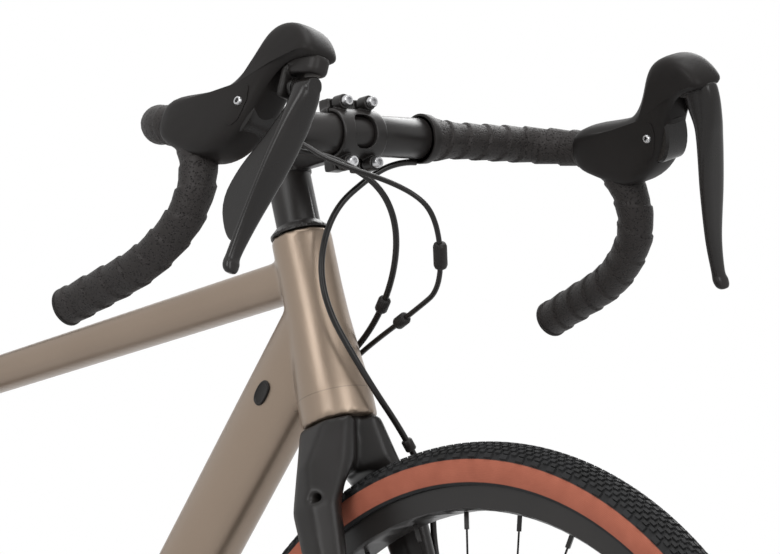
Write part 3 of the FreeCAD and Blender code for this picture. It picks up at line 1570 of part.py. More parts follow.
def brakes():
    turn = math.radians(front_caliper_angle)
    front_aim = steer_up * math.cos(turn) - steer_ahead * math.sin(turn)
    brake("front", front_axle, front_rotor_y, front_aim, steer_ahead, front_foot_reach, nodes["fork"])
    turn = math.radians(rear_caliper_angle)
    rear_aim = ahead * math.cos(turn) + upward * math.sin(turn)
    carriers = nodes["rear_stays"] + nodes["rear_dropouts"]
    brake("rear", rear_axle, rear_rotor_y, rear_aim, upward * -1, rear_foot_reach, carriers)


# Hoses and housing


def route_points(anchor, route):
    return [anchor + vec(*step) for step in route]


def hose(points, radius):
    return swept_bar(points, easy_radii(points), radius, hose_side_count)


def sleeve_on(points, leg, share, length, radius):
    """A sleeve round one straight run of a route, centred at a share of that run."""
    start, end = points[leg:leg + 2]
    middle = start + (end - start) * share
    half = unit(end - start) * (length / 2)
    return slim_bar(radius, hose_side_count, middle - half, middle + half)


def lines():
    ports = nodes["frame_fittings"]
    front_points = route_points(bar_centre, front_hose_route)
    front = hose(front_points, hose_radius)
    clips = [sleeve_on(front_points, leg, share, clip_length, clip_radius) for leg, share in clip_leg_shares]
    keep("front_brake_hose", front.cut(nodes["front_brake_caliper"]), *[c.cut([front] + nodes["fork"]) for c in clips])
    rear_points = route_points(bar_centre, rear_hose_route)
    rear = hose(rear_points, hose_radius)
    bead = sleeve_on(rear_points, hose_bead_leg_index, bead_share, bead_length, bead_radius)
    keep("rear_brake_hose", largest(rear.cut(ports)), bead.cut(rear))
    shift_points = route_points(bar_centre, shift_route)
    shift = hose(shift_points, housing_radius)
    barrel = sleeve_on(shift_points, barrel_leg_index, bead_share, barrel_length, barrel_radius)
    bead = sleeve_on(shift_points, shift_bead_leg_index, shift_bead_share, bead_length, bead_radius)
    keep("rear_shift_housing", largest(shift.cut(ports)), barrel.cut(shift), bead.cut(shift))
    brake_points = route_points(rear_axle, rear_caliper_route)
    brake_line = hose(brake_points, hose_radius).cut(nodes["rear_stays"] + nodes["rear_brake_caliper"])
    shift_line = hose(route_points(rear_axle, derailleur_route), housing_radius)
    shift_line = shift_line.cut(nodes["rear_stays"] + nodes["derailleur_base"])
    keep("rear_control_lines", largest(brake_line), largest(shift_line))


os.makedirs("parts", exist_ok=True)
wheel("front", front_axle, front_hub_half - hub_cap_width, front_hub_half - hub_cap_width, front_flange_left,
      front_flange_right, front_rotor_y)
wheel("rear", rear_axle, rear_hub_half - hub_cap_width, rear_hub_half - hub_cap_width - freehub_length,
      rear_flange_left, rear_flange_right, rear_rotor_y)
keep("front_thru_axle", through_axle(front_axle, front_hub_half, fork_half_width))
keep("rear_thru_axle", through_axle(rear_axle, rear_hub_half, rear_hub_half + dropout_thickness))
frame()
fork()
headset_top()
stem()
faceplate()
handlebar()
grips()
levers()
seatpost()
saddle()
chain()
chainring()
cassette()
cranks()
derailleur()
brakes()
lines()
for name, shapes in nodes.items():
    Part.makeCompound(shapes).exportStep("parts/" + name + ".step")
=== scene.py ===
import bpy
import json
import math
from mathutils import Matrix, Vector


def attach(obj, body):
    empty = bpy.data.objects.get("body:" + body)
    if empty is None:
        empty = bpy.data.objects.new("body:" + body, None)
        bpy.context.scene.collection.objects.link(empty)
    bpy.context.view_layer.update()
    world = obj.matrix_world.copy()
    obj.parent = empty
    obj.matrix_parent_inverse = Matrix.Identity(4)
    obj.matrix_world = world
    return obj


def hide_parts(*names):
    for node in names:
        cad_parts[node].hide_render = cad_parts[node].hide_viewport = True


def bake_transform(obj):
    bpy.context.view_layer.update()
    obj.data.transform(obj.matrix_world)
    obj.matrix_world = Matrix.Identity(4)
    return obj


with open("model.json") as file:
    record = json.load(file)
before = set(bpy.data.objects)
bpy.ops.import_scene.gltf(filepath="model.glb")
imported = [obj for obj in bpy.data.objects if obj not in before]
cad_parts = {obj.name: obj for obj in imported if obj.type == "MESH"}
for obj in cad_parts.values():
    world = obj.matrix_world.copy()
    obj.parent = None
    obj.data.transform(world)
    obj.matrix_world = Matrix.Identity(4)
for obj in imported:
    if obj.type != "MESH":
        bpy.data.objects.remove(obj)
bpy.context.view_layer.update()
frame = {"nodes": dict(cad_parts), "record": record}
nodes = frame["nodes"]
print("frame loaded:", len(nodes), "nodes")

# directions and places shared by the pieces, in metres
across = Vector((0, 1, 0))
upward = Vector((0, 0, 1))
steerUp = Vector((-0.318959, 0, 0.947768))
steerAhead = Vector((0.947768, 0, 0.318959))
crown = Vector((0.341029, 0, 0.710186))
barCentre = Vector((0.349623, 0, 0.932014))
leverOut = Vector((0, 0.961262, 0.275637))
leverUp = Vector((0, -0.275637, 0.961262))
frontAxle = Vector((0.515, 0, 0.35))
rearAxle = Vector((-0.515, 0, 0.35))
bottomBracket = Vector((-0.091071, 0, 0.278))
seatUp = Vector((-0.275637, 0, 0.961262))
stemAhead = Vector((0.988734, 0, 0.149684))
stemRise = Vector((-0.149684, 0, 0.988734))
ahead = Vector((1, 0, 0))
leverSide = 0.205
leverReach = 0.198
leverPivot = (0.171, 0.042)


def steerPoint(along):
    return crown + steerUp * along


def leverPoint(forward, rise, out=0):
    return Vector((barCentre.x + forward, leverSide, barCentre.z)) + leverUp * rise + leverOut * out


def squareTo(aim):
    return Vector((-aim.z, 0, aim.x))


# camera at the photograph's place, and a plain studio
view = {"azimuth": 48.833, "elevation": -1.455, "roll": 0.528, "distance": 3.7408, "target": (0.3971, 0, 0.8227),
        "lens": 228.2}


def addCamera():
    a, e, r = (math.radians(view[k]) for k in ("azimuth", "elevation", "roll"))
    back = Vector((math.sin(a) * math.cos(e), -math.cos(a) * math.cos(e), math.sin(e)))
    right = Vector((math.cos(a), math.sin(a), 0))
    up = back.cross(right)
    rolledRight = right * math.cos(r) + up * math.sin(r)
    rolledUp = up * math.cos(r) - right * math.sin(r)
    place = Matrix((rolledRight, rolledUp, back)).transposed().to_4x4()
    place.translation = Vector(view["target"]) + back * view["distance"]
    bpy.ops.object.camera_add()
    camera = bpy.context.object
    camera.matrix_world = place
    camera.data.lens = view["lens"]
    bpy.context.scene.camera = camera


studio = {
    "floor": 16, "floorHeight": -0.0005, "floorTones": ((0.84, 0.84, 0.84, 1), (0.86, 0.86, 0.86, 1)),
    "floorFade": (0.7, 2.2), "white": (1, 1, 1, 1), "worldColour": (0.95, 0.97, 1.0, 1), "worldStrength": 0.3,
    # place, aim, width, height, watts
    "lamps": [((1.2, -4.2, 3.2), (0.3, 0, 0.8), 2.6, 2.6, 105), ((4.2, -0.6, 2.4), (0.35, 0, 0.8), 2.0, 2.6, 60),
              ((-1.2, 3.4, 3.2), (0.2, 0, 0.8), 2.6, 2.0, 75), ((0.6, 0, 4.6), (0.3, 0, 0.7), 3.0, 2.0, 85)],
}


def addStudio():
    scene = bpy.context.scene
    scene.view_settings.view_transform = "Standard"
    world = bpy.data.worlds.new("studio")
    scene.world = world
    world.use_nodes = True
    tree = world.node_tree
    tree.nodes.clear()
    seen = tree.nodes.new("ShaderNodeLightPath")
    shown = seen.outputs["Is Camera Ray"]
    for ray in ("Is Glossy Ray", "Is Transmission Ray"):
        either = tree.nodes.new("ShaderNodeMath")
        either.operation = "MAXIMUM"
        tree.links.new(shown, either.inputs[0])
        tree.links.new(seen.outputs[ray], either.inputs[1])
        shown = either.outputs[0]
    ambient = tree.nodes.new("ShaderNodeBackground")
    ambient.inputs["Color"].default_value = studio["worldColour"]
    ambient.inputs["Strength"].default_value = studio["worldStrength"]
    white = tree.nodes.new("ShaderNodeBackground")
    white.inputs["Color"].default_value = studio["white"]
    mix = tree.nodes.new("ShaderNodeMixShader")
    out = tree.nodes.new("ShaderNodeOutputWorld")
    tree.links.new(shown, mix.inputs[0])
    tree.links.new(ambient.outputs[0], mix.inputs[1])
    tree.links.new(white.outputs[0], mix.inputs[2])
    tree.links.new(mix.outputs[0], out.inputs[0])
    for place, aim, width, height, watts in studio["lamps"]:
        bpy.ops.object.light_add(type="AREA", location=place)
        lamp = bpy.context.object
        lamp.data.shape = "RECTANGLE"
        lamp.data.size = width
        lamp.data.size_y = height
        lamp.data.energy = watts
        lamp.rotation_euler = (Vector(aim) - Vector(place)).to_track_quat("-Z", "Y").to_euler()
    bpy.ops.mesh.primitive_plane_add(size=studio["floor"], location=(0, 0, studio["floorHeight"]))
    floor = bpy.context.object
    floor.name = "floor"
    return floor


# shader maths: a wire is one output socket, and operators on wires add Math nodes
class Wire:
    def __init__(self, paint, socket):
        self.paint = paint
        self.socket = socket

    def __add__(self, other):
        return self.paint.maths("ADD", self, other)

    def __radd__(self, other):
        return self.paint.maths("ADD", other, self)

    def __sub__(self, other):
        return self.paint.maths("SUBTRACT", self, other)

    def __rsub__(self, other):
        return self.paint.maths("SUBTRACT", other, self)

    def __mul__(self, other):
        return self.paint.maths("MULTIPLY", self, other)

    def __rmul__(self, other):
        return self.paint.maths("MULTIPLY", other, self)

    def __pow__(self, other):
        return self.paint.maths("POWER", self, other)

    def __gt__(self, other):
        return self.paint.maths("GREATER_THAN", self, other)

    def __abs__(self):
        return self.paint.maths("ABSOLUTE", self)


class Paint:
    def __init__(self, name, **fixed):
        self.material = bpy.data.materials.new(name)
        self.material.use_nodes = True
        self.tree = self.material.node_tree
        self.shader = self.tree.nodes["Principled BSDF"]
        self.feed(**fixed)

    def node(self, kind, settings=None, inputs=None, out=0):
        made = self.tree.nodes.new(kind)
        for key, value in (settings or {}).items():
            if key == "stops":
                ramp = made.color_ramp.elements
                while len(ramp) < len(value):
                    ramp.new(0.5)
                for element, (at, colour) in zip(ramp, value):
                    element.position = at
                    element.color = colour
            else:
                setattr(made, key, value)
        for key, value in (inputs or {}).items():
            self.link(made.inputs[key], value)
        return Wire(self, made.outputs[out])

    def link(self, socket, value):
        if isinstance(value, Wire):
            self.tree.links.new(value.socket, socket)
        else:
            socket.default_value = value

    def feed(self, **inputs):
        for socket, value in inputs.items():
            self.link(self.shader.inputs[socket.replace("_", " ")], value)

    def maths(self, operation, first, second=0.0):
        return self.node("ShaderNodeMath", {"operation": operation}, {0: first, 1: second})

    def place(self):
        return self.node("ShaderNodeTexCoord", out="Object")

    def axes(self, place):
        split = self.tree.nodes.new("ShaderNodeSeparateXYZ")
        self.link(split.inputs[0], place)
        return [Wire(self, split.outputs[i]) for i in range(3)]

    def noise(self, scale, detail=3.0, place=None):
        place = place or self.place()
        return self.node("ShaderNodeTexNoise", None, {"Vector": place, "Scale": scale, "Detail": detail})

    def cells(self, scale):
        return self.node("ShaderNodeTexVoronoi", None, {"Vector": self.place(), "Scale": scale})

    def ramp(self, factor, *stops):
        return self.node("ShaderNodeValToRGB", {"stops": stops}, {"Fac": factor})

    def range(self, value, low, high, start, end):
        return self.node("ShaderNodeMapRange", None, {0: value, 1: low, 2: high, 3: start, 4: end})

    def spread(self, noise, start, end):
        return self.range(noise, 0.3, 0.7, start, end)  # most of a noise lies between these

    def bump(self, height, strength, distance):
        return self.node("ShaderNodeBump", None, {"Height": height, "Strength": strength, "Distance": distance})


# satin metallic, with a thin dark seam round the head tube, above its foot
champagneSet = {
    "flake": 5200, "cloud": 9, "seamAt": 0.0225, "seamEdge": (0.0002, 0.0006), "seamDepth": 0.45, "seamFrom": 0.3,
    "stops": [(0.0, (0.07, 0.05, 0.036, 1)), (0.2, (0.205, 0.153, 0.112, 1)), (0.8, (0.275, 0.21, 0.157, 1))],
}


def champagnePaint():
    c = champagneSet
    p = Paint("champagne satin metallic", Metallic=0.72, IOR=1.5, Coat_Roughness=0.22)
    flake = p.cells(c["flake"])
    cloud = p.noise(c["cloud"], 2)
    x, z = p.axes(p.place())[::2]
    along = (x - crown.x) * steerUp.x + (z - crown.z) * steerUp.z
    seam = p.range(abs(along - c["seamAt"]), *c["seamEdge"], c["seamDepth"], 0.0) * (x > c["seamFrom"])
    tone = p.range(flake, 0.0, 0.5, 0.0, 1.0) * 0.5 + cloud * 0.5 - seam
    p.feed(Base_Color=p.ramp(tone, *c["stops"]), Roughness=p.spread(cloud, 0.33, 0.41),
           Coat_Weight=p.spread(cloud, 0.22, 0.3), Normal=p.bump(flake, 0.05, 0.0002))
    return p.material


# a warm black: its tones, roughness, grain scale, grain depth and gloss
def blackPaint(name, low, high, rough, grain, strength, gloss):
    p = Paint(name, IOR=1.48, Specular_IOR_Level=gloss)
    fine = p.noise(grain, 4)
    broad = p.noise(14)
    dark, pale = ((tone * 1.14, tone, tone * 0.94, 1) for tone in (low, high))
    p.feed(Base_Color=p.ramp(broad, (0.3, dark), (0.75, pale)),
           Roughness=p.spread(broad, rough - 0.05, rough + 0.05), Normal=p.bump(fine, strength, 0.0002))
    return p.material


def steelPaint(name, colour, rough):
    p = Paint(name, Metallic=1.0)
    stretched = p.node("ShaderNodeMapping", None, {"Vector": p.place(), "Scale": (1.0, 0.05, 1.0)})
    brushed = p.noise(900, place=stretched)
    broad = p.noise(30)
    dark = tuple(c * 0.72 for c in colour) + (1,)
    p.feed(Base_Color=p.ramp(broad, (0.3, dark), (0.7, colour + (1,))),
           Roughness=p.spread(brushed, rough - 0.06, rough + 0.08), Normal=p.bump(brushed, 0.08, 0.0002))
    return p.material


def tapePaint():
    p = Paint("dimpled grip tape", IOR=1.45, Specular_IOR_Level=0.2)
    pits = p.range(p.cells(520), 0.0, 0.45, 0.0, 1.0)
    tone = pits * 0.7 + p.noise(40) * 0.3
    p.feed(Base_Color=p.ramp(tone, (0.1, (0.003, 0.0028, 0.0027, 1)), (0.8, (0.025, 0.022, 0.021, 1))),
           Roughness=p.range(pits, 0.0, 1.0, 0.62, 0.5), Normal=p.bump(pits, 0.8, 0.0009))
    return p.material


def leatherPaint():
    p = Paint("saddle cover", IOR=1.45, Specular_IOR_Level=0.25)
    grain = p.cells(480)
    broad = p.noise(22)
    tone = grain * 0.6 + broad * 0.4
    p.feed(Base_Color=p.ramp(tone, (0.1, (0.012, 0.012, 0.012, 1)), (0.8, (0.03, 0.03, 0.031, 1))),
           Roughness=p.spread(broad, 0.45, 0.58), Normal=p.bump(grain, 0.25, 0.0004))
    return p.material


# tan side walls below the tread, with a fine cross weave; the wheel's axle is the middle of the pattern
wallSet = {"tread": 0.3365, "bead": 0.3195, "fade": 0.0007, "weaveTurns": 1100.0, "weaveRise": 2600.0,
           "tan": [(0.2, (0.31, 0.092, 0.056, 1)), (0.75, (0.42, 0.135, 0.085, 1))],
           "black": [(0.3, (0.012, 0.012, 0.012, 1)), (0.7, (0.024, 0.024, 0.025, 1))]}


def tyrePaint(name, axle):
    w = wallSet
    p = Paint(name, IOR=1.45, Specular_IOR_Level=0.2)
    place = p.node("ShaderNodeVectorMath", {"operation": "SUBTRACT"}, {0: p.place(), 1: tuple(axle)})
    x, z = p.axes(place)[::2]
    radius = (x * x + z * z) ** 0.5
    turn = p.maths("ARCTAN2", z, x) * w["weaveTurns"]
    rise = radius * w["weaveRise"]
    weave = p.maths("SINE", turn + rise) * p.maths("SINE", turn - rise)
    tread = p.range(radius, w["tread"], w["tread"] + w["fade"], 0.0, 1.0)
    bead = p.range(radius, w["bead"], w["bead"] + w["fade"], 1.0, 0.0)
    dark = p.maths("MAXIMUM", tread, bead)
    cloud = p.noise(60)
    tan = p.ramp(cloud * 0.7 + weave * 0.1 + 0.1, *w["tan"])
    black = p.ramp(cloud, *w["black"])
    colour = p.node("ShaderNodeMix", {"data_type": "RGBA"}, {0: dark, 6: tan, 7: black}, out=2)
    p.feed(Base_Color=colour, Roughness=p.spread(cloud, 0.62, 0.78),
           Normal=p.bump(weave * (1 - dark) + cloud * dark, 0.18, 0.0004))
    return p.material


addCamera()
floor = addStudio()
paints = {
    "frame_paint": champagnePaint(),
    "fork_paint": blackPaint("satin black carbon", 0.009, 0.013, 0.36, 900, 0.04, 0.28),
    "black_alloy": blackPaint("black anodised alloy", 0.009, 0.015, 0.34, 2400, 0.1, 0.32),
    "silver_alloy": steelPaint("silver alloy", (0.62, 0.62, 0.63), 0.32),
    "steel": steelPaint("brushed steel", (0.27, 0.27, 0.275), 0.34),
    "hood_rubber": blackPaint("smooth hood rubber", 0.009, 0.013, 0.48, 1500, 0.12, 0.13),
    "tape": tapePaint(),
    "black_plastic": blackPaint("matt black plastic", 0.01, 0.016, 0.45, 1800, 0.15, 0.22),
    "gloss_black": blackPaint("gloss black lever", 0.008, 0.012, 0.27, 800, 0.03, 0.3),
    "hose": blackPaint("black hose", 0.007, 0.011, 0.28, 600, 0.05, 0.3),
    "saddle_cover": leatherPaint(),
    "tyre_rubber": tyrePaint("front tyre rubber", frontAxle),
}
rearTyrePaint = tyrePaint("rear tyre rubber", rearAxle)
slotOf = {s["node"]: s["material_slot"] for s in frame["record"]["subparts"]}


def setPaint(piece, material):
    piece.data.materials.clear()
    piece.data.materials.append(material)


for name, node in nodes.items():
    setPaint(node, rearTyrePaint if name == "rear_tyre" else paints[slotOf[name]])


def floorPaint():
    # pale round the object, where its shadow falls, and plain white farther off
    p = Paint("pale floor", Roughness=0.9)
    dark, pale = studio["floorTones"]
    p.feed(Base_Color=p.ramp(p.noise(0.6, 2), (0.3, dark), (0.7, pale)))
    x, y = p.axes(p.place())[:2]
    far = p.range((x * x + y * y) ** 0.5, *studio["floorFade"], 0.0, 1.0)
    seen, mirrored, through = (p.node("ShaderNodeLightPath", out="Is %s Ray" % ray)
                               for ray in ("Camera", "Glossy", "Transmission"))
    white = p.node("ShaderNodeEmission", None, {"Color": studio["white"]})
    shaders = {0: far * (seen + mirrored + through), 1: Wire(p, p.shader.outputs[0]), 2: white}
    mixed = p.node("ShaderNodeMixShader", None, shaders)
    p.link(p.tree.nodes["Material Output"].inputs["Surface"], mixed)
    return p.material


setPaint(floor, floorPaint())
print("materials made:", len(paints) + 2)


# modelling helpers
def deselect():
    if bpy.context.object and bpy.context.object.mode != "OBJECT":
        bpy.ops.object.mode_set(mode="OBJECT")
    bpy.ops.object.select_all(action="DESELECT")


def pick(piece):
    deselect()
    piece.select_set(True)
    bpy.context.view_layer.objects.active = piece


def editAll(piece):
    pick(piece)
    bpy.ops.object.mode_set(mode="EDIT")
    bpy.ops.mesh.select_all(action="SELECT")


def clean(piece, caps=True, merge=0.00002):
    editAll(piece)
    bpy.ops.mesh.remove_doubles(threshold=merge)
    if caps:
        bpy.ops.mesh.fill_holes(sides=0)
    bpy.ops.mesh.select_all(action="SELECT")
    bpy.ops.mesh.normals_make_consistent(inside=False)
    bpy.ops.object.mode_set(mode="OBJECT")


def loopSkin(name, loops, caps=True):
    # a grid laid over the loops: its rows run round each loop, its columns from loop to loop
    deselect()
    count = len(loops[0])
    bpy.ops.mesh.primitive_grid_add(x_subdivisions=count, y_subdivisions=len(loops) - 1, size=1)
    piece = bpy.context.object
    piece.name = name
    for i, vertex in enumerate(piece.data.vertices):
        row, column = divmod(i, count + 1)
        vertex.co = loops[row][column % count]
    clean(piece, caps)
    return piece


def modify(piece, kind, **settings):
    pick(piece)
    added = piece.modifiers.new(kind.lower(), kind)
    for key, value in settings.items():
        setattr(added, key, value)
    bpy.ops.object.modifier_apply(modifier=added.name)


def join(name, *pieces):
    deselect()
    for piece in pieces:
        piece.select_set(True)
    bpy.context.view_layer.objects.active = pieces[0]
    bpy.ops.object.join()
    pieces[0].name = name
    return pieces[0]


def smooth(piece, angle=40):
    pick(piece)
    bpy.ops.object.shade_smooth_by_angle(angle=math.radians(angle))


def copyPiece(piece, name):
    pick(piece)
    bpy.ops.object.duplicate()
    twin = bpy.context.object
    twin.name = name
    return twin


def mirrorCopy(piece, name):
    twin = copyPiece(piece, name)
    for vertex in twin.data.vertices:
        vertex.co.y = -vertex.co.y
    editAll(twin)
    bpy.ops.mesh.flip_normals()
    bpy.ops.object.mode_set(mode="OBJECT")
    return twin


def changeSide(piece, name):
    twin = mirrorCopy(piece, name)
    bpy.data.objects.remove(piece)
    return twin


def finish(piece, body, slot, *replaced, paint=None):
    setPaint(piece, paint or paints[slot])
    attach(piece, body)
    if replaced:
        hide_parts(*replaced)


def finishPair(left, body, slot, *replaced):
    twin = mirrorCopy(left, left.name.replace("left", "right"))
    finish(left, body, slot, *replaced)
    finish(twin, body, slot)


def oval(centre, side, up, width, height, count=32, power=2.0):
    loop = []
    for i in range(count):
        a = 2 * math.pi * i / count
        c, s = math.cos(a), math.sin(a)
        loop.append(centre + side * (math.copysign(abs(c) ** (2 / power), c) * width / 2)
                    + up * (math.copysign(abs(s) ** (2 / power), s) * height / 2))
    return loop


def circle(centre, side, up, radius, count=32):
    return oval(centre, side, up, 2 * radius, 2 * radius, count)


def eased(points, cuts=2):
    # corner cutting turns a closed outline into a soft one
    for cut in range(cuts):
        cornered = points
        points = []
        for i, p in enumerate(cornered):
            q = cornered[(i + 1) % len(cornered)]
            points += [p.lerp(q, 0.25), p.lerp(q, 0.75)]
    return points


def easedLoop(centre, side, up, shares, width, height):
    outline = eased([Vector(p) for p in shares])
    return [centre + side * (p.x * width) + up * (p.y * height) for p in outline]


def bentPath(points, radii, step=12.0):
    # the bar's own line: straight runs joined by arcs
    path = [points[0]]
    for i in range(1, len(points) - 1):
        back = (points[i - 1] - points[i]).normalized()
        on = (points[i + 1] - points[i]).normalized()
        half = back.angle(on) / 2
        centre = points[i] + (back + on).normalized() * (radii[i - 1] / math.sin(half))
        start = points[i] + back * (radii[i - 1] / math.tan(half)) - centre
        end = points[i] + on * (radii[i - 1] / math.tan(half)) - centre
        turn = math.pi - half * 2
        steps = math.ceil(turn / math.radians(step))
        for k in range(steps + 1):
            far = turn * k / steps
            path.append(centre + (start * math.sin(turn - far) + end * math.sin(far)) / math.sin(turn))
    return path + [points[-1]]


def evenPath(path, step):
    # the same line with points at even steps
    spans = [(b - a).length for a, b in zip(path, path[1:])]
    total = sum(spans)
    count = max(2, round(total / step))
    made, run, i = [path[0].copy()], 0.0, 0
    for k in range(1, count):
        want = total * k / count
        while run + spans[i] < want:
            run += spans[i]
            i += 1
        made.append(path[i].lerp(path[i + 1], (want - run) / spans[i]))
    return made + [path[-1].copy()], total


def heading(path, i):
    return (path[min(i + 1, len(path) - 1)] - path[max(i - 1, 0)]).normalized()


def rings(path, radiusAt, count):
    # loops square to the path, carried along it without twist
    loops = []
    side = None
    for i, p in enumerate(path):
        along = heading(path, i)
        if side is None:
            side = along.cross(upward).normalized()
        side = (side - along * side.dot(along)).normalized()
        up = along.cross(side)
        loops.append([p + (side * math.cos(a) + up * math.sin(a)) * radiusAt(i, a)
                      for a in (2 * math.pi * k / count for k in range(count))])
    return loops


def splinePath(points):
    # a smooth line led by a hose's points, read back from its spline
    curve = bpy.data.curves.new("route", "CURVE")
    curve.dimensions = "3D"
    spline = curve.splines.new("NURBS")
    spline.points.add(len(points) - 1)
    for at, p in zip(spline.points, points):
        at.co = (*p, 1)
    spline.order_u = 3
    spline.use_endpoint_u = True
    spline.resolution_u = 10
    holder = bpy.data.objects.new("route", curve)
    bpy.context.collection.objects.link(holder)
    bpy.context.view_layer.update()
    mesh = bpy.data.meshes.new_from_object(holder.evaluated_get(bpy.context.evaluated_depsgraph_get()))
    path = [v.co.copy() for v in mesh.vertices]
    bpy.data.objects.remove(holder)
    bpy.data.meshes.remove(mesh)
    return path


def copyNode(name, source):
    twin = nodes[source].copy()
    twin.data = nodes[source].data.copy()
    bpy.context.collection.objects.link(twin)
    twin.parent = None
    twin.matrix_world = Matrix.Identity(4)
    for key in list(twin.keys()):
        del twin[key]
    twin.name = name
    clean(twin, caps=False, merge=0.00001)
    return twin


def soften(piece, voxel, rounds):
    # one even skin over the whole form, its edges and joints run soft
    modify(piece, "REMESH", mode="VOXEL", voxel_size=voxel)
    modify(piece, "SMOOTH", factor=0.5, iterations=rounds)
    pick(piece)
    bpy.ops.object.shade_smooth()
    return piece


# frame: the tubes run into one smooth-welded skin
frameSet = {
    "voxel": 0.0022, "rounds": 10, "headRound": 48, "tubeRound": 40,
    "head": [(0.001, 0.0292), (0.003, 0.0296), (0.023, 0.0294), (0.05, 0.0268), (0.085, 0.0243), (0.11, 0.0236),
             (0.152, 0.0236), (0.154, 0.0232)],
    "topShares": [(-0.34, 0.5), (0.34, 0.5), (0.5, 0.3), (0.5, -0.14), (0.26, -0.5), (-0.26, -0.5), (-0.5, -0.14),
                  (-0.5, 0.3)],
    "downShares": [(-0.3, 0.5), (0.3, 0.5), (0.5, 0.22), (0.5, -0.14), (0.3, -0.5), (-0.3, -0.5), (-0.5, -0.14),
                   (-0.5, 0.22)],
    "topMeet": 0.121, "topSlope": 11.0, "topHead": (0.038, 0.033), "topSeat": (0.033, 0.028),
    "downMeet": 0.079, "downHead": (0.046, 0.064), "downShell": (0.056, 0.044),
    "seatRadius": 0.0172, "seatLength": 0.506, "shellRadius": 0.0225, "shellHalf": 0.034,
}


def makeFrame():
    f = frameSet
    head = loopSkin("headTube", [circle(steerPoint(a), across, steerAhead, r, f["headRound"]) for a, r in f["head"]])
    slope = math.radians(f["topSlope"])
    rise = squareTo(Vector((math.cos(slope), 0, math.sin(slope))))
    start = steerPoint(f["topMeet"])
    seat = bottomBracket + seatUp * ((start - bottomBracket).dot(rise) / seatUp.dot(rise))
    top = loopSkin("topTube", [easedLoop(at, across, rise, f["topShares"], *size)
                               for at, size in ((seat, f["topSeat"]), (start, f["topHead"]))])
    end = steerPoint(f["downMeet"])
    rise = squareTo((end - bottomBracket).normalized())
    down = loopSkin("downTube", [easedLoop(at, across, rise, f["downShares"], *size)
                                 for at, size in ((bottomBracket, f["downShell"]), (end, f["downHead"]))])
    front = across.cross(seatUp)
    seatTube = loopSkin("seatTube", [
        circle(bottomBracket + seatUp * a, across, front, f["seatRadius"], f["tubeRound"])
        for a in (0, f["seatLength"])])
    shell = loopSkin("shell", [
        circle(bottomBracket + across * y, ahead, upward, f["shellRadius"], f["tubeRound"])
        for y in (-f["shellHalf"], f["shellHalf"])])
    stays = copyNode("stays", "rear_stays")
    skin = soften(join("frame_skin", head, top, down, seatTube, shell, stays), f["voxel"], f["rounds"])
    finish(skin, "frame", "frame_paint", "head_tube", "top_tube", "down_tube", "seat_tube", "bottom_bracket_shell",
           "rear_stays")
    print("frame skin:", len(skin.data.polygons), "faces")


# pieces whose CAD form is right and only wants soft edges: voxel, rounds, body, slot
softSet = {
    "fork": (0.0016, 36, "steering", "fork_paint"),
    "stem": (0.0008, 18, "steering", "black_alloy"),
    "crank_arms": (0.0016, 6, "crank", "black_alloy"),
    "front_brake_caliper": (0.0008, 6, "steering", "black_alloy"),
    "rear_brake_caliper": (0.0008, 6, "frame", "black_alloy"),
    "rear_dropouts": (0.0008, 5, "frame", "frame_paint"),
}


def makeSoftPieces():
    for source, (voxel, rounds, body, slot) in softSet.items():
        piece = soften(copyNode(source + "_soft", source), voxel, rounds)
        finish(piece, body, slot, source)
    print("soft-edged pieces:", len(softSet))


# turned pieces: the CAD form with smooth rounds and crisp edges
turnedSet = {
    "headset_spacers": "steering", "front_thru_axle": "steering", "rear_thru_axle": "frame",
    "front_rotor": "front_wheel", "rear_rotor": "rear_wheel", "front_hub_and_spokes": "front_wheel",
    "rear_hub_and_spokes": "rear_wheel", "chainring": "crank", "cassette": "cassette",
    "seatpost": "seatpost", "saddle_rails": "seatpost", "left_pedal": "left_pedal", "right_pedal": "right_pedal",
    "derailleur_base": "frame", "derailleur_outer_link": "outer_link", "derailleur_inner_link": "inner_link",
    "derailleur_moving_knuckle": "moving_knuckle", "derailleur_cage": "cage", "upper_pulley": "upper_pulley",
    "lower_pulley": "lower_pulley", "chain": "frame", "front_rim": "front_wheel", "rear_rim": "rear_wheel",
}


def makeTurnedPieces():
    for source, body in turnedSet.items():
        piece = copyNode(source + "_turned", source)
        smooth(piece, 32)
        finish(piece, body, slotOf[source], source)
    print("turned pieces:", len(turnedSet))


# bar tape: wound round the grip, each turn lapping the last, with a finishing band at its start
tapeSet = {"start": 0.070, "shoulder": 0.074, "taperEnd": 0.104, "centreRadius": 0.0189, "gripRadius": 0.0149,
           "turn": 0.0205, "lap": 0.0015, "lapEdge": 0.06, "step": 0.0011, "round": 40,
           "radii": (0.040, 0.049, 0.112), "hook": ((0.1335, -0.0128), (0.0543, -0.1072), (-0.033, -0.141)),
           # the band: shares of its length and of its stand
           "band": [(0.0, -0.8), (0.03, 0.7), (0.1, 1.0), (0.9, 1.0), (0.97, 0.7), (1.0, -0.8)],
           "bandLength": 0.008, "bandStand": 0.0007}


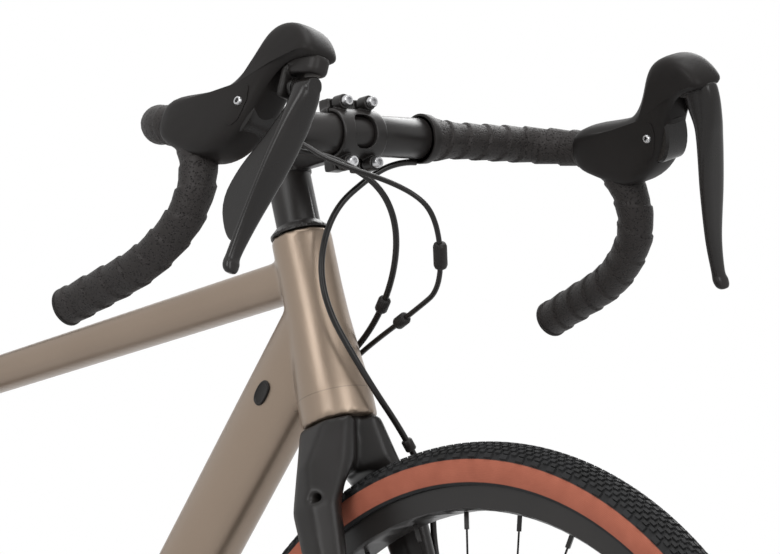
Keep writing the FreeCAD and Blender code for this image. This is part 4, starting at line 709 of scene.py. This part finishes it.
def makeTape():
    t = tapeSet
    points = [barCentre + across * t["start"], leverPoint(0, 0)] + [leverPoint(*h) for h in t["hook"]]
    path, total = evenPath(bentPath(points, t["radii"]), t["step"])
    gap = total / (len(path) - 1)

    def core(y):
        share = min(1, max(0, (y - t["shoulder"]) / (t["taperEnd"] - t["shoulder"])))
        return t["centreRadius"] + (t["gripRadius"] - t["centreRadius"]) * share

    def tapeRadius(i, a):
        s = i * gap
        phase = (s / t["turn"] + a / (2 * math.pi)) % 1
        edge = min(phase / t["lapEdge"], 1)
        return core(s + t["start"]) - t["lap"] * (1 - (1 - phase) * edge)

    def bandRadius(i, a):
        share, stand = t["band"][i]
        return core(t["start"] + t["bandLength"] * share) + t["bandStand"] * stand

    left = loopSkin("bar_tape_left", rings(path, tapeRadius, t["round"]))
    smooth(left, 55)
    finishPair(left, "steering", "tape", "bar_tape")
    line = [barCentre + across * (t["start"] + t["bandLength"] * share) for share, stand in t["band"]]
    band = loopSkin("tape_band_left", rings(line, bandRadius, t["round"]))
    smooth(band)
    finishPair(band, "steering", "black_plastic")
    print("tape turns:", round(total / t["turn"]))


# hoods: a rounded horn, made from the outline and its insets
hoodSet = {"rise": 0.0685, "half": 0.018, "edge": 0.006, "levels": 2,
           "shares": [(0.2, 0.22), (0.38, 0.24), (0.545, 0.28), (0.61, 0.38), (0.66, 0.555), (0.7, 0.8), (0.75, 0.95),
                      (0.83, 1.0), (0.92, 0.92), (0.98, 0.73), (1.0, 0.555), (0.885, 0.555), (0.81, 0.44),
                      (0.74, 0.12), (0.71, -0.12), (0.645, -0.32), (0.555, -0.47), (0.43, -0.5), (0.28, -0.34),
                      (0.2, -0.26)],
           # shares of the half width and of the edge's inset
           "layers": [(-1.0, 1.4), (-0.78, 0.35), (-0.45, 0.0), (0.45, 0.0), (0.78, 0.35), (1.0, 1.4)],
           # gloss block in the mouth: outline, each layer's distance out and inset, and each side's setback
           "block": [(0.128, -0.002), (0.132, 0.012), (0.1495, 0.0225), (0.1502, 0.002), (0.142, -0.014),
                     (0.13, -0.017)],
           "blockLayers": [(-0.0118, 0.0018), (-0.0102, 0.0), (0.0102, 0.0), (0.0118, 0.0018)],
           "blockBack": {"left": 0.0, "right": 0.0055},
           # thin plate over each side: outline, and its loops' shares of the way from the middle
           "plate": [(0.119, -0.004), (0.126, 0.013), (0.141, 0.02), (0.143, 0.004), (0.137, -0.012), (0.126, -0.014)],
           "plateMiddle": (0.132, 0.003), "plateShares": (1.0, 0.94, 0.84, 0.68, 0.5, 0.3, 0.0), "plateOut": 0.022,
           "plateStand": 0.0002, "plateThick": 0.001,
           # hollow for the lever's head, and the mouth under it: back, front, foot, top
           "room": 0.0088, "roomHalf": 0.0104, "roomRound": 40, "mouth": (0.152, 0.189, 0.017, 0.042)}


def insetOutline(points, distance):
    made = []
    for i, p in enumerate(points):
        before, after = points[i - 1], points[(i + 1) % len(points)]
        a = (p - before).normalized()
        b = (after - p).normalized()
        inward = Vector((a.y + b.y, -a.x - b.x)).normalized()
        made.append(p + inward * distance / max(0.5, abs(inward.dot(Vector((b.y, -b.x))))))
    return made


def layered(name, outline, layers):
    # the outline set out sideways and drawn in at each layer
    return loopSkin(name, [[leverPoint(p.x, p.y, out) for p in insetOutline(outline, inset)] for out, inset in layers])


def hollowHood(hood):
    h = hoodSet
    back, front, foot, top = h["mouth"]
    deselect()
    bpy.ops.mesh.primitive_cylinder_add(radius=h["room"], depth=h["roomHalf"] * 2, vertices=h["roomRound"])
    room = bpy.context.object
    bpy.ops.mesh.primitive_cube_add(size=1)
    mouth = bpy.context.object
    lying = Matrix((ahead, -leverUp, leverOut)).transposed()
    upright = Matrix((ahead, leverOut, leverUp)).transposed()
    mouthSize = Vector((front - back, 2 * h["roomHalf"], top - foot))
    mouthAt = leverPoint((back + front) / 2, (foot + top) / 2)
    for tool, size, at, turn in ((room, Vector((1, 1, 1)), leverPoint(*leverPivot), lying),
                                 (mouth, mouthSize, mouthAt, upright)):
        for vertex in tool.data.vertices:
            vertex.co = at + turn @ (vertex.co * size)
        modify(hood, "BOOLEAN", operation="DIFFERENCE", object=tool, solver="EXACT")
        bpy.data.objects.remove(tool)


def makeHoodBlocks():
    h = hoodSet
    outline = eased([Vector(p) for p in h["block"]])
    for side, back in h["blockBack"].items():
        block = layered("hood_block_left", [p - Vector((back, 0)) for p in outline], h["blockLayers"])
        if side == "right":
            block = changeSide(block, "hood_block_right")
        smooth(block, 35)
        finish(block, "steering", "gloss_black")


def makeHoodPlates(hood):
    h = hoodSet
    outline = eased([Vector(p) for p in h["plate"]])
    middle = Vector(h["plateMiddle"])
    for side, name in ((1, "outer"), (-1, "inner")):
        loops = [[leverPoint(*middle.lerp(p, share), h["plateOut"] * side) for p in outline]
                 for share in h["plateShares"]]
        plate = loopSkin("hood_plate_%s_left" % name, loops, caps=False)
        modify(plate, "SHRINKWRAP", target=hood, wrap_mode="ABOVE_SURFACE", offset=h["plateStand"])
        modify(plate, "SOLIDIFY", thickness=h["plateThick"], offset=0)
        clean(plate, caps=False)
        smooth(plate)
        finishPair(plate, "steering", "hood_rubber")


def makeHoods():
    h = hoodSet
    outline = [Vector((a * leverReach, b * h["rise"])) for a, b in h["shares"]]
    left = layered("hood_left", outline, [(out * h["half"], h["edge"] * inset) for out, inset in h["layers"]])
    modify(left, "SUBSURF", levels=h["levels"], render_levels=h["levels"])
    hollowHood(left)
    smooth(left, 50)
    finishPair(left, "steering", "hood_rubber", "lever_hoods")
    makeHoodBlocks()
    makeHoodPlates(left)
    print("hoods:", len(left.data.polygons), "faces each")


# tyres: a smooth casing with rows of small tread blocks
tyreSet = {"radius": 0.3482, "half": 0.0198, "wall": 0.0026, "lip": 0.3176, "beadY": 0.0115, "bead": 0.3111,
           "around": 200, "outer": 30, "inner": 10,
           # rows of blocks: turn round the casing in degrees, count round the wheel, length, width
           "rows": [(0, 250, 0.0056, 0.0034), (12, 250, 0.0056, 0.0032), (23.5, 250, 0.0056, 0.0031),
                    (34.5, 250, 0.0056, 0.003), (45, 250, 0.0058, 0.0029), (56, 125, 0.0086, 0.0042)],
           "blockSunk": 0.0006, "blockHeight": 0.0022, "blockTop": 0.86}


def makeCasing(name, axle):
    t = tyreSet
    middle = t["radius"] - t["half"]
    inner = t["half"] - t["wall"]

    def arc(radius, start, steps):
        angles = (start - 2 * start * i / steps for i in range(steps + 1))
        return [(middle + radius * math.cos(a), radius * math.sin(a)) for a in angles]

    profile = arc(t["half"], -math.acos((t["lip"] - middle) / t["half"]), t["outer"])
    profile += [(t["lip"], t["beadY"]), (t["bead"], t["beadY"])]
    profile += arc(inner, math.pi - math.asin((t["beadY"] - t["wall"]) / inner), t["inner"])
    profile += [(t["bead"], -t["beadY"]), (t["lip"], -t["beadY"])]
    loops = []
    for k in range(t["around"] + 1):
        a = 2 * math.pi * (k % t["around"]) / t["around"]
        out = Vector((math.cos(a), 0, math.sin(a)))
        loops.append([axle + out * r + across * y for r, y in profile])
    casing = loopSkin(name, loops, caps=False)
    smooth(casing)
    return casing


def treadRow(axle, lean, count, length, width, shift):
    # one tapered block, spun round the axle
    t = tyreSet
    a = 2 * math.pi * shift / count
    out = Vector((math.cos(a), 0, math.sin(a)))
    onward = Vector((-math.sin(a), 0, math.cos(a)))
    lift = out * math.cos(lean) + across * math.sin(lean)
    beside = across * math.cos(lean) - out * math.sin(lean)
    foot = axle + out * (t["radius"] - t["half"]) + lift * (t["half"] - t["blockSunk"])
    deselect()
    bpy.ops.mesh.primitive_cube_add(size=1)
    row = bpy.context.object
    for vertex in row.data.vertices:
        x, y, z = vertex.co
        share, rise = (t["blockTop"], t["blockHeight"]) if z > 0 else (1.0, 0.0)
        vertex.co = foot + lift * rise + onward * (x * length * share) + beside * (y * width * share)
    editAll(row)
    bpy.ops.mesh.spin(steps=count - 1, dupli=True, angle=2 * math.pi * (count - 1) / count, center=axle, axis=across)
    bpy.ops.object.mode_set(mode="OBJECT")
    return row


def makeTyre(name, axle, body, node, paint):
    casing = makeCasing(name, axle)
    rows = []
    for lean, count, length, width in tyreSet["rows"]:
        for side in ((1,) if lean == 0 else (1, -1)):
            shift = len(rows) // 2 % 2 / 2  # rows in turn are set half a block on
            rows.append(treadRow(axle, math.radians(lean) * side, count, length, width, shift))
    tread = join(name + "_tread", *rows)
    clean(tread, caps=False, merge=0.000001)
    finish(casing, body, "tyre_rubber", node, paint=paint)
    finish(tread, body, "tyre_rubber", paint=paint)
    print(name, "tread blocks:", len(tread.data.polygons) // 6)


# hoses and housing: smooth lines led by the routes' points, in millimetres
hoseSet = {
    "front": {"radius": 0.0025, "body": "steering", "node": "front_brake_hose", "points": [
        (345.7, 69.9, 913.9), (345.7, 56, 913.9), (339, 34, 905), (331, -6, 872), (345, -28, 812), (371, -2, 748),
        (373, 40, 700), (382, 58, 658), (382, 61.3, 608), (417, 63.2, 509), (405.5, 64.5, 455.5), (400, 52, 413),
        (433.3, 45, 392.3)], "sleeves": [((374.5, 42, 696), 0.0044, 0.010), ((399, 62.2, 558), 0.0044, 0.010)]},
    "rear": {"radius": 0.0025, "body": None, "node": "rear_brake_hose", "points": [
        (360.9, -69.9, 917.3), (360.9, -62, 917.3), (383, -45, 912), (402, -16, 893), (400, 5, 862), (374, 24, 822),
        (338, 33.5, 783), (300, 33, 755), (272.5, 24, 736.5)], "sleeves": [((356, 28.7, 802), 0.005, 0.013)]},
    "shift": {"radius": 0.0021, "body": None, "node": "rear_shift_housing", "points": [
        (365.8, -69.9, 923.8), (365.8, -64, 923.8), (392, -56, 908), (440, -18, 888), (447, 4, 866), (426, 27, 815),
        (392, 32, 799), (322, 37, 767), (303, 35, 751), (277.5, 24, 732)],
        "sleeves": [((436, 15.5, 840), 0.0054, 0.022), ((373, 33.3, 790), 0.005, 0.013)]},
}
# a hose's mesh, and its sleeves: shares of their length and radius
hoseForm = {"step": 0.003, "round": 16, "sleeveRound": 20,
            "sleeve": [(-0.5, 0.55), (-0.46, 0.86), (-0.36, 1.0), (0.36, 1.0), (0.46, 0.86), (0.5, 0.55)]}


def makeSleeve(name, path, at, radius, length):
    f = hoseForm
    near = min(range(len(path)), key=lambda i: (path[i] - Vector(at) / 1000).length)
    line = [path[near] + heading(path, near) * (length * share) for share, wide in f["sleeve"]]
    sleeve = loopSkin(name, rings(line, lambda i, a: radius * f["sleeve"][i][1], f["sleeveRound"]))
    smooth(sleeve, 50)
    return sleeve


def makeHoses():
    for name, h in hoseSet.items():
        points = [Vector(p) / 1000 for p in h["points"]]
        path, total = evenPath(splinePath(points), hoseForm["step"])
        piece = loopSkin(name + "_hose", rings(path, lambda i, a: h["radius"], hoseForm["round"]))
        smooth(piece, 60)
        sleeves = [makeSleeve("%s_sleeve_%d" % (name, k + 1), path, *s) for k, s in enumerate(h["sleeves"])]
        for part in [piece] + sleeves:
            setPaint(part, paints["hose" if part is piece else "black_plastic"])
            if h["body"]:
                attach(part, h["body"])
            else:
                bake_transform(part)
        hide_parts(h["node"])
        print(name, "hose length", round(total, 3))


# saddle: its solid run into one soft crowned skin
saddleSet = {"voxel": 0.003, "rounds": 16}


def makeSaddle():
    cushion = soften(copyNode("saddle_cushion", "saddle"), saddleSet["voxel"], saddleSet["rounds"])
    finish(cushion, "seatpost", "saddle_cover", "saddle")
    print("saddle:", len(cushion.data.polygons), "faces")


# handlebar: the bare middle and two domed end plugs
barSet = {"half": 0.0702, "radius": 0.0159, "edge": 0.0008, "edgeCut": 0.0005, "clamp": 0.024, "round": 64,
          "plug": [(0, 0.0138), (0.0004, 0.0146), (0.0018, 0.0147), (0.0027, 0.0138), (0.003, 0.0105)],
          "plugRound": 40}


def makeBar():
    b = barSet
    half = [(b["clamp"], 0), (b["half"] - b["edge"], 0), (b["half"], b["edgeCut"])]
    stations = [(-y, cut) for y, cut in reversed(half)] + half
    middle = loopSkin("bar_middle", [circle(barCentre + across * y, ahead, upward, b["radius"] - cut, b["round"])
                                     for y, cut in stations])
    smooth(middle)
    finish(middle, "steering", "black_alloy", "handlebar")
    end = leverPoint(*tapeSet["hook"][-1])
    along = (end - leverPoint(*tapeSet["hook"][-2])).normalized()
    line = [end + along * a for a, r in b["plug"]]
    plug = loopSkin("end_plug_left", rings(line, lambda i, a: b["plug"][i][1], b["plugRound"]))
    smooth(plug, 45)
    finishPair(plug, "steering", "black_plastic")
    print("bar middle and plugs made")


# stem faceplate: a half shell round the bar with a window and four bosses
plateSet = {"inner": 0.0162, "outer": 0.0199, "half": 0.0215, "span": 84, "steps": 32, "power": 5.0,
            "window": (0.0212, 0.0262), "windowDepth": (0.004, 0.03), "windowRound": 40, "windowPower": 3.0,
            "boss": 0.0058, "bossDepth": (0.002, 0.0118), "bossY": 0.0125, "bossRise": 0.0235, "voxel": 0.0005,
            "rounds": 7}


def makeFaceplate():
    f = plateSet
    middle, thick = (f["inner"] + f["outer"]) / 2, f["outer"] - f["inner"]
    loops = []
    for k in range(f["steps"] + 1):
        turn = math.radians(-f["span"] + 2 * f["span"] * k / f["steps"])
        out = stemAhead * math.cos(turn) + stemRise * math.sin(turn)
        loops.append(oval(barCentre + out * middle, across, out, 2 * f["half"], thick, power=f["power"]))
    shell = loopSkin("faceplate_shell", loops)
    hole = loopSkin("window", [
        oval(barCentre + stemAhead * a, across, stemRise, *f["window"], f["windowRound"], f["windowPower"])
        for a in f["windowDepth"]])
    modify(shell, "BOOLEAN", operation="DIFFERENCE", object=hole, solver="EXACT")
    bpy.data.objects.remove(hole)
    parts = [shell]
    for y in (-f["bossY"], f["bossY"]):
        for r in (-f["bossRise"], f["bossRise"]):
            at = barCentre + across * y + stemRise * r
            parts.append(loopSkin("boss", [circle(at + stemAhead * a, across, stemRise, f["boss"])
                                           for a in f["bossDepth"]]))
    plate = soften(join("faceplate", *parts), f["voxel"], f["rounds"])
    finish(plate, "steering", "black_alloy", "stem_faceplate")
    print("faceplate:", len(plate.data.polygons), "faces")


# frame fittings: the CAD clamp and cups, with dished oval plugs in the down tube's two ports
portSet = {"at": (0.27505, 0.0235, 0.73425), "length": 0.022, "width": 0.0125, "room": 0.02, "round": 40, "power": 2.4,
           # shares of the size, and the height of each step
           "steps": [(0.98, -0.003), (1.0, 0.0006), (0.95, 0.0013), (0.84, 0.0014), (0.76, 0.0008), (0.66, 0.0006)]}


def makeFittings():
    f = portSet
    fittings = copyNode("fittings", "frame_fittings")
    at = Vector(f["at"])
    editAll(fittings)
    bpy.ops.mesh.select_all(action="DESELECT")
    bpy.ops.object.mode_set(mode="OBJECT")
    for vertex in fittings.data.vertices:
        vertex.select = (Vector((vertex.co.x, abs(vertex.co.y), vertex.co.z)) - at).length < f["room"]
    bpy.ops.object.mode_set(mode="EDIT")
    bpy.ops.mesh.delete(type="VERT")
    bpy.ops.object.mode_set(mode="OBJECT")
    smooth(fittings, 32)
    finish(fittings, "frame", "black_alloy", "frame_fittings")
    aim = (steerPoint(frameSet["downMeet"]) - bottomBracket).normalized()
    plug = loopSkin("port_plug_left", [
        oval(at + across * h, aim, squareTo(aim), f["length"] * k, f["width"] * k, f["round"], f["power"])
        for k, h in f["steps"]])
    smooth(plug, 30)
    finishPair(plug, "frame", "black_plastic")
    print("fittings:", len(fittings.data.polygons), "faces")


# levers: curved blades swept through their stations, rounded carriers and a rounded shift paddle
leverSet = {
    "drop": 0.121, "outset": 0.0085, "width": 0.022, "depth": 0.015, "cuts": 8, "power": 2.8,
    # forward, rise, out, width and depth shares
    "blade": [(0.905, -0.12, 0.06, 1.12, 0.76), (0.868, -0.34, 0.24, 1.06, 0.62), (0.812, -0.66, 0.58, 0.72, 0.54),
              (0.787, -0.88, 0.9, 0.52, 0.54), (0.788, -0.94, 0.97, 0.58, 0.62), (0.793, -0.98, 1.0, 0.5, 0.54),
              (0.798, -1.0, 1.0, 0.3, 0.34)],
    # the blade's root: a hub that swings on the right, one piece with the carrier on the left
    "rightRoot": [(0.927, 0.2, 0.0, 0.5, 1.0), (0.927, 0.172, 0.0, 0.78, 1.26), (0.93, 0.1, 0.0, 0.93, 1.2),
                  (0.921, 0.0, 0.02, 1.05, 0.96)],
    "leftRoot": [(0.918, 0.37, 0.0, 0.6, 1.5), (0.922, 0.335, 0.0, 0.84, 1.9), (0.926, 0.23, 0.0, 0.9, 1.85),
                 (0.93, 0.1, 0.0, 0.98, 1.3), (0.921, 0.0, 0.02, 1.06, 0.98)],
    "paddle": [(0.853, 0.165), (0.8735, 0.165), (0.868, 0.02), (0.84, -0.12), (0.808, -0.37), (0.75, -0.7),
               (0.72, -0.8), (0.655, -0.73), (0.595, -0.53), (0.645, -0.33), (0.75, -0.14), (0.82, 0.02),
               (0.851, 0.07)],
    "paddleHalf": 0.0013, "paddleLayers": [(-1.0, 0.0012), (-0.5, 0.0003), (0.5, 0.0003), (1.0, 0.0012)],
    "headRadius": 0.0079, "headHalf": 0.0098, "hubRadius": 0.0069, "pinRise": 0.02,
    # blocks of the right carrier: back, front, foot, top, squareness; shares of height and size
    "blocks": [(0.1652, 0.1968, 0.0284, 0.0425, 3.0), (0.1622, 0.1679, 0.0112, 0.036, 4.0)],
    "blockSteps": [(0.0, 0.8), (0.08, 0.95), (0.25, 1.0), (0.75, 1.0), (0.92, 0.95), (1.0, 0.8)],
    # the pin's radius, start and end, and where each hub starts and ends on it
    "pin": (0.0025, 0.165, 0.193), "bladeHub": (0.1737, 0.1932), "paddleHub": (0.1684, 0.1732),
    "voxel": 0.0006, "rounds": 9,
}


def between(stations, cuts):
    # smooth steps through a table of stations
    made = []
    for i in range(len(stations) - 1):
        a, b, c, d = (stations[max(0, min(len(stations) - 1, i + k))] for k in (-1, 0, 1, 2))
        for step in range(cuts):
            t = step / cuts
            made.append([q + t / 2 * (r - p) + t * t * (p - 2.5 * q + 2 * r - s / 2)
                         + t ** 3 * (1.5 * (q - r) + (s - p) / 2) for p, q, r, s in zip(a, b, c, d)])
    return made + [list(stations[-1])]


def leverBlock(back, front, foot, top, power):
    v = leverSet
    loops = []
    for h, k in v["blockSteps"]:
        centre = leverPoint((back + front) / 2, foot + (top - foot) * h)
        loops.append(oval(centre, ahead, leverOut, (front - back) * k, 2 * v["headHalf"] * k, power=power))
    return loopSkin("block", loops)


def leverPin(radius, start, end):
    return loopSkin("pin", [circle(leverPoint(x, leverSet["pinRise"]), leverOut, leverUp, radius)
                            for x in (start, end)])


def leverHead():
    v = leverSet
    return loopSkin("head", [circle(leverPoint(*leverPivot) + leverOut * y, ahead, leverUp, v["headRadius"])
                             for y in (-v["headHalf"], v["headHalf"])])


def makeBlade(root):
    v = leverSet
    loops = []
    for forward, rise, out, wide, deep in between(v[root] + v["blade"], v["cuts"]):
        centre = leverPoint(forward * leverReach, rise * v["drop"], out * v["outset"])
        loops.append(oval(centre, leverOut, ahead, wide * v["width"], deep * v["depth"], power=v["power"]))
    return loopSkin("blade", loops)


def makePaddle():
    v = leverSet
    outline = eased([Vector((a * leverReach, b * v["drop"])) for a, b in v["paddle"]])
    leaf = layered("leaf", outline, [(v["paddleHalf"] * out, inset) for out, inset in v["paddleLayers"]])
    return join("paddle", leaf, leverPin(v["hubRadius"], *v["paddleHub"]))


def makeLevers():
    v = leverSet
    carrier = join("carrier", leverHead(), *(leverBlock(*b) for b in v["blocks"]), leverPin(*v["pin"]))
    blade = join("blade", makeBlade("rightRoot"), leverPin(v["hubRadius"], *v["bladeHub"]))
    right = {"right_lever_carrier": ("right_lever", "black_plastic", carrier),
             "right_brake_blade": ("right_blade", "gloss_black", blade),
             "right_shift_paddle": ("right_paddle", "gloss_black", makePaddle())}
    for source, (body, slot, shape) in right.items():
        piece = soften(changeSide(shape, source + "_shape"), v["voxel"], v["rounds"])
        finish(piece, body, slot, source)
    left = soften(join("left_lever_shape", leverHead(), makeBlade("leftRoot")), v["voxel"], v["rounds"])
    finish(left, "left_lever", "gloss_black", "left_brake_lever")
    print("levers:", len(left.data.polygons), "faces on the left")


# socket bolts: a round head with a hexagon socket, four on the faceplate and two on each hood
boltSet = {"head": 0.0042, "length": 0.0046, "depth": 0.0024, "round": 24,
           # shares of length and of the head's radius, then the socket's at its rim and floor
           "profile": [(0.0, 1.0), (0.8, 1.0), (1.0, 0.86)], "socket": (0.62, 0.6),
           "plateAt": 0.0122, "hoodAt": (0.1335, 0.0055), "hoodOut": 0.0162, "hoodScale": 0.8}


def makeBolt(name, at, out, scale=1.0):
    b = boltSet
    side = out.cross(across).normalized() if abs(out.y) < 0.9 else ahead
    up = out.cross(side)
    loops = [circle(at + out * (b["length"] * h * scale), side, up, b["head"] * r * scale, b["round"])
             for h, r in b["profile"]]
    for h, r in zip((b["length"], b["length"] - b["depth"]), b["socket"]):
        loop = []
        for i in range(b["round"]):
            a = 2 * math.pi * i / b["round"]
            hexed = math.cos(math.pi / 6) / math.cos((a % (math.pi / 3)) - math.pi / 6)
            spoke = side * math.cos(a) + up * math.sin(a)
            loop.append(at + out * (h * scale) + spoke * (b["head"] * r * hexed * scale))
        loops.append(loop)
    piece = loopSkin(name, loops)
    smooth(piece, 35)
    return piece


def makeBolts():
    b = boltSet
    rise, beside = plateSet["bossRise"], plateSet["bossY"]
    corners = [stemRise * r + across * y for r in (rise, -rise) for y in (beside, -beside)]
    bolts = [makeBolt("faceplate_bolt_1", barCentre + stemAhead * b["plateAt"] + corners[0], stemAhead)]
    for k in range(1, len(corners)):
        bolts.append(copyPiece(bolts[0], "faceplate_bolt_%d" % (k + 1)))
        for vertex in bolts[k].data.vertices:
            vertex.co += corners[k] - corners[0]
    for bolt in bolts:
        finish(bolt, "steering", "silver_alloy")
    for out, name in ((1, "outer"), (-1, "inner")):
        at = leverPoint(*b["hoodAt"], out * b["hoodOut"])
        left = makeBolt("hood_bolt_%s_left" % name, at, leverOut * out, b["hoodScale"])
        finishPair(left, "steering", "silver_alloy")
    print("bolts:", len(bolts) + 4)


makeFrame()
makeSoftPieces()
makeTurnedPieces()
makeTape()
makeBar()
makeFaceplate()
makeFittings()
makeHoods()
makeLevers()
makeTyre("front_casing", frontAxle, "front_wheel", "front_tyre", paints["tyre_rubber"])
makeTyre("rear_casing", rearAxle, "rear_wheel", "rear_tyre", rearTyrePaint)
makeHoses()
makeSaddle()
makeBolts()
